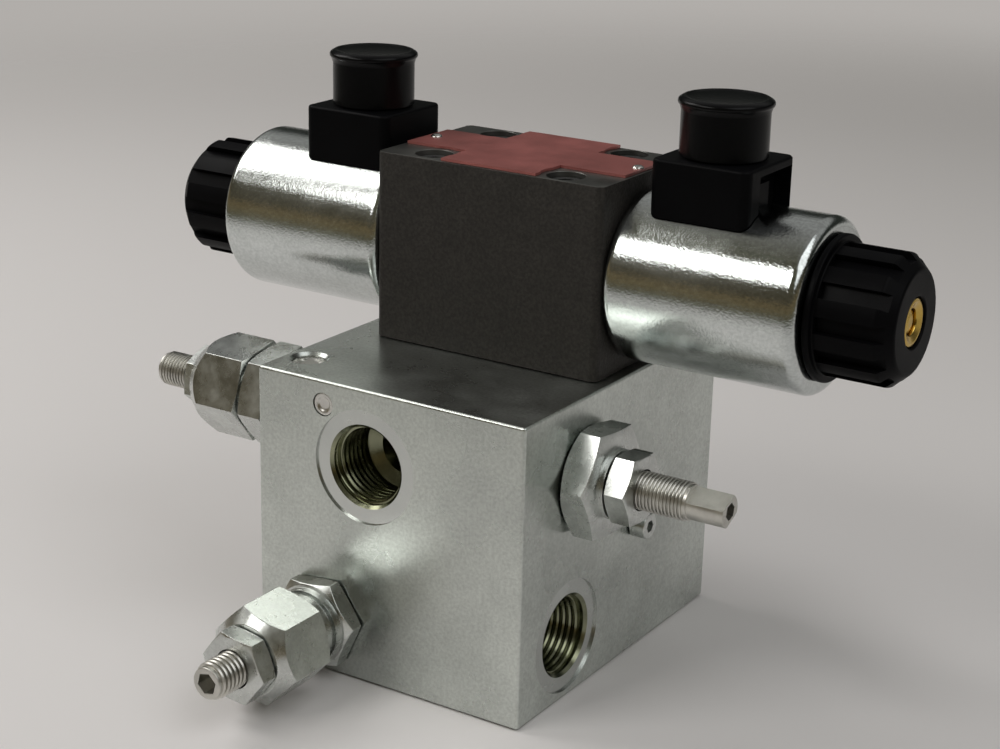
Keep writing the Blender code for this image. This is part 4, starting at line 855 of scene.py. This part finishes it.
def make_bolts():
    """Make the four mounting bolts from one turned and broached pattern."""
    low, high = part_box("valve_bolt_1")
    outline = cap_screw(2.5, 4.25, 5.0, (low[2] - high[2]) / MM, -5.0, 0.45)
    pattern = to_object("bolt pattern", turned(outline, ROUND))
    mill(pattern, [hexagon_key(4.0, -2.6, 1.0)])
    file_edges(pattern, 0.1 * MM)
    points = [(middle(node).x, middle(node).y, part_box(node)[1][2]) for node in BOLT_NODES]
    bolts = copies_on_points("mounting_bolts", pattern, points, DARK_STEEL)
    return dress(bolts, "valve_unit", "iron", *BOLT_NODES)


make_bolts()

# %% [markdown]
# The red plate is thin aluminium with round bites for the bolts. Two rivets hold it. It stays
# bare, with the scratches of a used plate.

# %% Plate and rivets
PLATE_LOW, PLATE_HIGH = (Vector(corner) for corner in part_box("name_plate"))
PLATE_TOP = 0.75 * MM
BITE_RADIUS = 6.5 * MM
ARM_HALF_LENGTH = 14.25 * MM
ARM_HALF_WIDTH = 9.5 * MM
RIVET_INSET_LEFT = 4.0 * MM
RIVET_INSET_RIGHT = 2.4 * MM


def make_plate():
    """Make the plate's finer outline and its two rivets."""
    centre = (PLATE_LOW + PLATE_HIGH) / 2
    size = PLATE_HIGH - PLATE_LOW
    bottom, top = VALVE_HIGH.z + 0.05 * MM, VALVE_HIGH.z + PLATE_TOP
    blank = box_object("plate", (size.x, size.y, top - bottom), (
        centre.x, centre.y, (top + bottom) / 2), RED_PLATE)
    tools = []
    for node in BOLT_NODES:
        tools.append(hole(f"bite {node}", above(node), [
            (BITE_RADIUS, bottom - PAST), (BITE_RADIUS, top + PAST)]))
        spot = middle(node)
        away_x = 1 if spot.x > centre.x else -1
        away_y = 1 if spot.y > centre.y else -1
        tools.append(box_object(f"corner {node}", (size.x / 2, size.y / 2, 8 * MM), (
            centre.x + away_x * (ARM_HALF_LENGTH + size.x / 4),
            centre.y + away_y * (ARM_HALF_WIDTH + size.y / 4), top)))
    mill(blank, tools)
    file_edges(blank, 0.12 * MM)
    dress(blank, "valve_unit", "red", "name_plate")
    head = rounded(mm(((0.0, -0.6), (1.6, -0.6), (1.6, 0.15), (0.9, 0.7), (0.0, 0.75))), 0.4 * MM)
    pattern = to_object("rivet pattern", turned(head, 32))
    points = [(VALVE_LOW.x + RIVET_INSET_LEFT, centre.y, top),
              (VALVE_HIGH.x - RIVET_INSET_RIGHT, centre.y, top)]
    rivets = copies_on_points("plate_rivets", pattern, points, BRIGHT_STEEL)
    dress(rivets, "valve_unit", "steel")


make_plate()

# %% [markdown]
# Each coil is a steel can with rounded ends, plated so brightly that it mirrors the room.

# %% Coils
COIL_RADIUS = 22.5 * MM
COIL_ROUND = 2.8 * MM
TUBE_BORE = 7.8 * MM


def arc(centre_radius, centre_along, size, start_degrees, end_degrees, steps=8):
    """Return the points of an arc in an outline."""
    points = []
    for step in range(steps + 1):
        angle = math.radians(start_degrees + (end_degrees - start_degrees) * step / steps)
        points.append((centre_radius + size * math.cos(angle), centre_along + size * math.sin(angle)))
    return points


def span(node):
    """Return how far a frame piece reaches along X from the valve's middle, near end and far end."""
    low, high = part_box(node)
    ends = sorted(abs(value - AXIS.x) for value in (low[0], high[0]))
    return ends[0], ends[1]


def make_coils():
    """Make both coil cans with their bores."""
    for side in SIDES:
        near, far = span(f"{side}_coil_housing")
        flat = COIL_RADIUS - COIL_ROUND
        outline = [(TUBE_BORE, near), *arc(flat, near + COIL_ROUND, COIL_ROUND, -90, 0),
                   *arc(flat, far - COIL_ROUND, COIL_ROUND, 0, 90), (TUBE_BORE, far)]
        coil = to_object(f"{side}_coil_can", turned(outline, FINEST), axis_place(side), COIL_CHROME)
        dress(coil, f"{side}_coil", "chrome", f"{side}_coil_housing")


make_coils()

# %% [markdown]
# The connector base is a black moulding that sits astride the coil, with a pocket in its outer
# end. A round cap with a flared rim closes each socket.

# %% Connector bases and caps
SADDLE_RADIUS = 22.8 * MM
SOCKET_RADIUS = 9.0 * MM
SOCKET_HEIGHT = 9.0 * MM
WELL_RADIUS = 7.6 * MM
POCKET_DEPTH = 5.0 * MM
POCKET_WIDTH = 18.6 * MM
POCKET_SHIFT = 2.6 * MM
ROOF_THICKNESS = 2.2 * MM
RIB_SIZE = (POCKET_DEPTH, 5.0 * MM, 6.0 * MM)
RIB_INSET = 2.4 * MM
CAP_RADIUS = 11.1 * MM
CAP_BORE = 9.3 * MM


def make_bases():
    """Mould each base, with its saddle, its round socket and its pocket."""
    for side, outward in SIDES.items():
        node = f"{side}_connector_base"
        low, high = (Vector(corner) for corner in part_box(node))
        top = high.z - SOCKET_HEIGHT
        centre = (low + high) / 2
        base = to_object(f"{side}_base", moulded_box(
            (high.x - low.x, high.y - low.y, top - low.z), (centre.x, centre.y, (top + low.z) / 2),
            2.5 * MM, 0.8 * MM, 3), None, BLACK_MOULDED)
        mill(base, [hole("saddle", pointing((low.x - PAST, AXIS.y, AXIS.z), (1, 0, 0)), [
            (SADDLE_RADIUS, 0.0), (SADDLE_RADIUS, high.x - low.x + 2 * PAST)], BLACK_MOULDED, FINEST)])
        mill(base, [hole("socket", above(node), [
            (SOCKET_RADIUS, top - 1.0 * MM), (SOCKET_RADIUS, high.z)], BLACK_MOULDED)], "UNION")
        well = hole("well", above(node), [
            (WELL_RADIUS, top + 0.3 * MM), (WELL_RADIUS, high.z + PAST)], BLACK_MOULDED)
        end_x = high.x if outward > 0 else low.x
        roof = top - ROOF_THICKNESS
        pocket = box_object("pocket", (2 * POCKET_DEPTH, POCKET_WIDTH, roof - AXIS.z), (
            end_x, centre.y + outward * POCKET_SHIFT, (roof + AXIS.z) / 2), BLACK_MOULDED)
        mill(base, [well, pocket])
        rib = box_object("rib", RIB_SIZE, (
            end_x - outward * (POCKET_DEPTH / 2 + RIB_INSET), centre.y + outward * 1.0 * MM,
            roof - RIB_SIZE[2]), BLACK_MOULDED)
        mill(base, [rib], "UNION")
        file_edges(base, 0.25 * MM, 2, 40.0)
        dress(base, f"{side}_coil", "black", node)


def make_caps():
    """Turn the round caps, which are hollow below and dished on top."""
    for side in SIDES:
        node = f"{side}_connector_cap"
        bottom, top = (corner[2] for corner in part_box(node))
        outline = [
            (0.0, top - 3.0 * MM), (CAP_BORE, top - 3.0 * MM), (CAP_BORE, bottom),
            (CAP_RADIUS - 0.2 * MM, bottom), (CAP_RADIUS, bottom + 0.2 * MM),
            (CAP_RADIUS, top - 3.4 * MM), *arc(CAP_RADIUS, top - 1.25 * MM, 0.9 * MM, -60, 70),
            (CAP_RADIUS - 0.4 * MM, top), (CAP_RADIUS - 1.2 * MM, top - 0.02 * MM),
            (CAP_RADIUS - 1.5 * MM, top - 0.25 * MM), (0.0, top - 0.25 * MM)]
        cap = to_object(f"{side}_cap_moulding", turned(outline, FINE), above(node), BLACK_GLOSSY)
        dress(cap, f"{side}_cap", "black", node)


make_bases()
make_caps()

# %% [markdown]
# The coil nut is a black moulding that fingers can grip: twelve grooves run along it and out
# through its tapered nose. The grooves repeat round the axis, so Geometry Nodes set twelve copies
# of one cutter on a circle.

# %% Coil nuts
NUT_RADIUS = 16.6 * MM
NUT_HOLE = 6.4 * MM
NUT_HOLE_DEPTH = 7.0 * MM
FLANGE_RADIUS = 18.5 * MM
FLANGE_LENGTH = 1.8 * MM
TAPER_LENGTH = 3.8 * MM
NOSE_RADIUS = 13.0 * MM
FLUTES = 12
FLUTE_DEPTH = 2.0 * MM
FLUTE_WIDTH = 4.2 * MM


def make_ring_tree():
    """Build a node tree that repeats a piece round local Z."""
    tree, given = start_tree("copies round an axis", True, Count=FLUTES)
    spots = add_node(tree, "GeometryNodeMeshLine")
    spots.inputs["Offset"].default_value = (0.0, 0.0, 0.0)
    wire(given["Count"], spots.inputs["Count"])
    number = add_node(tree, "GeometryNodeInputIndex")
    angle = add_node(tree, "ShaderNodeMath", operation="MULTIPLY")
    angle.inputs[1].default_value = math.tau
    wire(add_math(tree, "DIVIDE", number.outputs["Index"], given["Count"]), angle.inputs[0])
    turn = add_node(tree, "ShaderNodeCombineXYZ")
    wire(angle.outputs[0], turn.inputs["Z"])
    copies = add_node(tree, "GeometryNodeInstanceOnPoints")
    wire(spots.outputs["Mesh"], copies.inputs["Points"])
    wire(given["Geometry"], copies.inputs["Instance"])
    wire(turn.outputs["Vector"], copies.inputs["Rotation"])
    return end_tree(tree, given, copies.outputs["Instances"])


RING_TREE = make_ring_tree()


def make_coil_nut(side):
    """Make one fluted nut."""
    near, far = span(f"{side}_retaining_nut")
    flange, taper = near + FLANGE_LENGTH, far - TAPER_LENGTH
    outline = rounded([
        (TUBE_BORE, near), (FLANGE_RADIUS, near), (FLANGE_RADIUS, flange), (NUT_RADIUS, flange),
        (NUT_RADIUS, taper), (NOSE_RADIUS, far), (NUT_HOLE, far),
        (NUT_HOLE, far - NUT_HOLE_DEPTH), (TUBE_BORE, far - NUT_HOLE_DEPTH)], 0.6 * MM)
    nut = to_object(f"{side}_fluted_nut", turned(outline, FINE), None, BLACK_MOULDED)
    low, high = flange + 0.4 * MM, far + PAST
    flute = box_object("flute", (2 * FLUTE_DEPTH, FLUTE_WIDTH, high - low), (
        NUT_RADIUS, 0.0, (low + high) / 2), BLACK_MOULDED)
    mill(nut, [grow(flute, RING_TREE, Count=FLUTES, Finish=BLACK_MOULDED)])
    file_edges(nut, 0.25 * MM, 2, 40.0)
    nut.data.transform(axis_place(side))
    dress(nut, f"{side}_coil_nut", "black", f"{side}_retaining_nut")


def make_override(side):
    """Turn the brass guide in one nut, and the button of the manual override in the guide."""
    start, end = span(f"{side}_override_guide")
    shoulder, floor = end - 10.3 * MM, end - 6.2 * MM
    outline = rounded([
        (1.8 * MM, start), (5.2 * MM, start), (5.2 * MM, shoulder), (6.1 * MM, shoulder),
        (6.1 * MM, end - 0.3 * MM), (5.2 * MM, end), (3.3 * MM, end - 0.8 * MM),
        (3.3 * MM, floor), (1.8 * MM, floor)], 0.3 * MM)
    guide = to_object(f"{side}_brass_guide", turned(outline, ROUND), axis_place(side), BRASS)
    dress(guide, "valve_unit", "brass", f"{side}_override_guide")
    start, end = span(f"{side}_override_pin")
    head = end - 1.4 * MM
    outline = rounded([
        (0.0, start), (1.5 * MM, start), (1.5 * MM, head), (3.0 * MM, head), (3.0 * MM, end),
        (1.4 * MM, end + 0.5 * MM), (0.0, end + 0.5 * MM)], 0.3 * MM)
    button = to_object(f"{side}_override_button", turned(outline, ROUND), axis_place(side), BRASS)
    dress(button, "spool_train", "steel", f"{side}_override_pin")


for side in SIDES:
    make_coil_nut(side)
    make_override(side)
print("coils, bases, caps and nuts made")

# %% [markdown]
# A cartridge body is turned from hexagon bar. Each length of hexagon is left by milling away a
# ring, and the blank's chamfers then show as curved lines at the hexagon's ends.

# %% Cartridge bodies, lock nuts and studs
# Sizes in mm, from the block's face outwards. Each hexagon is its start, end, size across flats, turn
# in degrees, inner and outer chamfer. Each collar is its end and radius.
CARTRIDGES = {
    "left": {
        "screw_radius": 4.7, "screw_end": 43.5, "socket": 5.0, "tip_start": None, "pitch": 1.0,
        "nut_size": 15.0, "nut_length": 3.4, "nut_turn": 39.0, "face_radius": 9.5,
        "hexes": ((0.0, 8.7, 24.0, 50.0, 0.6, 1.0), (9.6, 27.7, 23.8, 50.0, 0.6, 5.9)),
        "collars": ((9.6, 10.4),)},
    "front": {
        "screw_radius": 4.9, "screw_end": 46.6, "socket": 5.0, "tip_start": None, "pitch": 1.5,
        "nut_size": 17.0, "nut_length": 5.7, "nut_turn": 52.0, "face_radius": 9.6,
        "hexes": ((0.0, 5.6, 22.2, 5.5, 0.5, 1.6), (12.8, 31.1, 23.2, 45.0, 1.3, 3.6)),
        "collars": ((7.8, 10.1), (9.2, 8.8), (12.8, 9.9))},
    "right": {
        "screw_radius": 5.0, "screw_end": 40.2, "socket": 4.0, "tip_start": 30.2, "pitch": 1.0,
        "nut_size": 17.0, "nut_length": 6.3, "nut_turn": 56.5, "face_radius": 11.8,
        "hexes": ((0.0, 8.6, 27.0, 56.0, 1.6, 1.3),), "collars": ((9.7, 9.0),)},
}
SHANK = ((8.7, -8.0), (8.7, -2.6), (8.0, -2.6), (8.0, 0.3))
CLEARANCE = 0.3
CHAMFER_REACH = 0.3
SOCKET_TURN = 15.0
SOCKET_DEPTH = 5.0
TIP_RADIUS = 4.2 * MM
TIP_TURN = math.radians(115.0)
# The core is cut into by this share of half the pitch, and the thread stands on it as high.
THREAD_SHARE = 0.92


def hexagon_length(start, end, size, inner, outer, face_radius):
    """Outline of a hexagon before milling, in mm, chamfered at both ends."""
    corner = size / math.sqrt(3) + CHAMFER_REACH
    flat = size / 2 - CHAMFER_REACH
    return [(flat, start), (corner, start + inner), (corner, end - outer), (min(flat, face_radius), end)]


def hexagon_waste(size, low, high, turn, place):
    """Make the ring of waste that milling takes off round a hexagon, from sizes in mm."""
    low, high, size = low * MM, high * MM, size * MM
    ring = to_object("waste", prism(hexagon(2.5 * size, turn), low, high))
    mill(ring, [to_object("core", prism(hexagon(size, turn), low - PAST, high + PAST))])
    ring.data.transform(place)
    return ring


def make_cartridge_body(side):
    """Make one cartridge body from its collars and hexagons, and return where it ends."""
    spec = CARTRIDGES[side]
    place = BLOCK_FACES[side]
    bore = spec["screw_radius"] + CLEARANCE
    outline = [(bore, SHANK[0][1]), *SHANK]
    waste = []
    last = 0.0
    starts = [later[0] for later in spec["hexes"][1:]] + [math.inf]
    for next_start, (start, end, size, turn, inner, outer) in zip(starts, spec["hexes"]):
        face = spec["face_radius"] if next_start == math.inf else size / 2
        start = max(start, CLEARANCE)
        outline += hexagon_length(start, end, size, inner, outer, face)
        waste.append(hexagon_waste(size, start - (0.5 if last else 0.3), end + 0.5, turn, place))
        last = end
        for collar_end, radius in spec["collars"]:
            if last < collar_end <= next_start:
                outline += [(radius, last), (radius, collar_end)]
                last = collar_end
    outline.append((bore, last))
    body = to_object(f"{side}_cartridge", turned(mm(outline), FINE), place, ZINC_SCREW)
    mill(body, waste)
    file_edges(body, 0.12 * MM, 2, 22.0)
    dress(body, "valve_unit", "zinc", f"{side}_cartridge_body")
    return last


def make_lock_nut(side, start):
    """Make one lock nut with its chamfered corners, and return where it ends."""
    spec = CARTRIDGES[side]
    place = BLOCK_FACES[side]
    size = spec["nut_size"]
    end = start + spec["nut_length"]
    bore = spec["screw_radius"] + CLEARANCE
    chamfer = (size / math.sqrt(3) - size / 2) / 2
    outline = [(bore, start), *hexagon_length(start, end, size, chamfer, chamfer, size / 2), (bore, end)]
    nut = to_object(f"{side}_hexagon_nut", turned(mm(outline), FINE), place, ZINC_SCREW)
    mill(nut, [hexagon_waste(size, start - 0.3, end + 0.3, spec["nut_turn"], place)])
    file_edges(nut, 0.12 * MM, 2, 22.0)
    dress(nut, f"{side}_nut", "zinc", f"{side}_lock_nut")
    return end


def make_stud(side, nut_end):
    """Make one adjusting screw: a core, a thread ridge round it and a hexagon socket."""
    spec = CARTRIDGES[side]
    place = BLOCK_FACES[side]
    node = f"{side}_adjusting_screw"
    low, high = (Vector(corner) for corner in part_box(node))
    end = spec["screw_end"] * MM
    start = end - max(high - low)
    pitch = spec["pitch"] * MM
    depth = THREAD_SHARE * pitch / 2
    core = spec["screw_radius"] * MM - depth
    thread_end = (spec["tip_start"] or spec["screw_end"]) * MM
    outline = [(0.0, start), (core, start), (core, thread_end)]
    if spec["tip_start"]:
        outline += [(TIP_RADIUS, thread_end), (TIP_RADIUS, end)]
    outline.append((0.0, end))
    stud = to_object(f"{side}_stud", turned(rounded(outline, 0.4 * MM), ROUND), place, ZINC_STUD)
    tools = [to_object("key", prism(hexagon(spec["socket"] * MM, SOCKET_TURN), end - SOCKET_DEPTH * MM,
                                    end + PAST), place)]
    if spec["tip_start"]:
        for sign in (-1, 1):
            flat = block_shape((4.2 * MM, 16.0 * MM, end - thread_end + PAST), (
                sign * 4.9 * MM, 0, (end + thread_end + PAST) / 2))
            bmesh.ops.transform(flat, matrix=Matrix.Rotation(TIP_TURN, 4, "Z"), verts=flat.verts)
            tools.append(to_object("flat", flat, place))
    mill(stud, tools)
    file_edges(stud, 0.1 * MM)
    dress(stud, f"{side}_screw", "zinc", node)
    thread_start = nut_end * MM - 4.0 * MM
    add_thread(f"{side}_stud_thread", f"{side}_screw", "zinc", place, thread_start,
               thread_end - thread_start - pitch * 0.5, core, depth, pitch, ZINC_STUD)


for side in SCREW_SIDES:
    body_end = make_cartridge_body(side)
    nut_end = make_lock_nut(side, body_end + CLEARANCE)
    make_stud(side, nut_end)
print("cartridges made")

# %% [markdown]
# What stays hidden inside keeps the frame's shape and gets plain working finishes.

# %% Hidden pieces
HIDDEN = {
    "steel": BRIGHT_STEEL, "spring": DARK_STEEL, "rubber": RUBBER, "brass": BRASS, "zinc": ZINC_SCREW,
    "iron": DARK_STEEL, "chrome": COIL_CHROME, "black": BLACK_MOULDED, "red": RED_PLATE}
for part in frame["record"]["subparts"]:
    item = NODES[part["node"]]
    item.data.materials.clear()
    item.data.materials.append(HIDDEN[part["material_slot"]])

# %% [markdown]
# The tube seals lie in the grooves of the core tubes, where the tubes enter the valve body.

# %% Tube seals
SEAL_SECTION = 0.7 * MM
for side in SIDES:
    outline = arc(8.8 * MM, (VALVE_HIGH.x - VALVE_LOW.x) / 2 - 2.2 * MM, SEAL_SECTION, 0, 345, 11)
    seal = to_object(f"{side}_tube_seal", turned(outline, 48), axis_place(side), RUBBER)
    dress(seal, "valve_unit", "rubber")
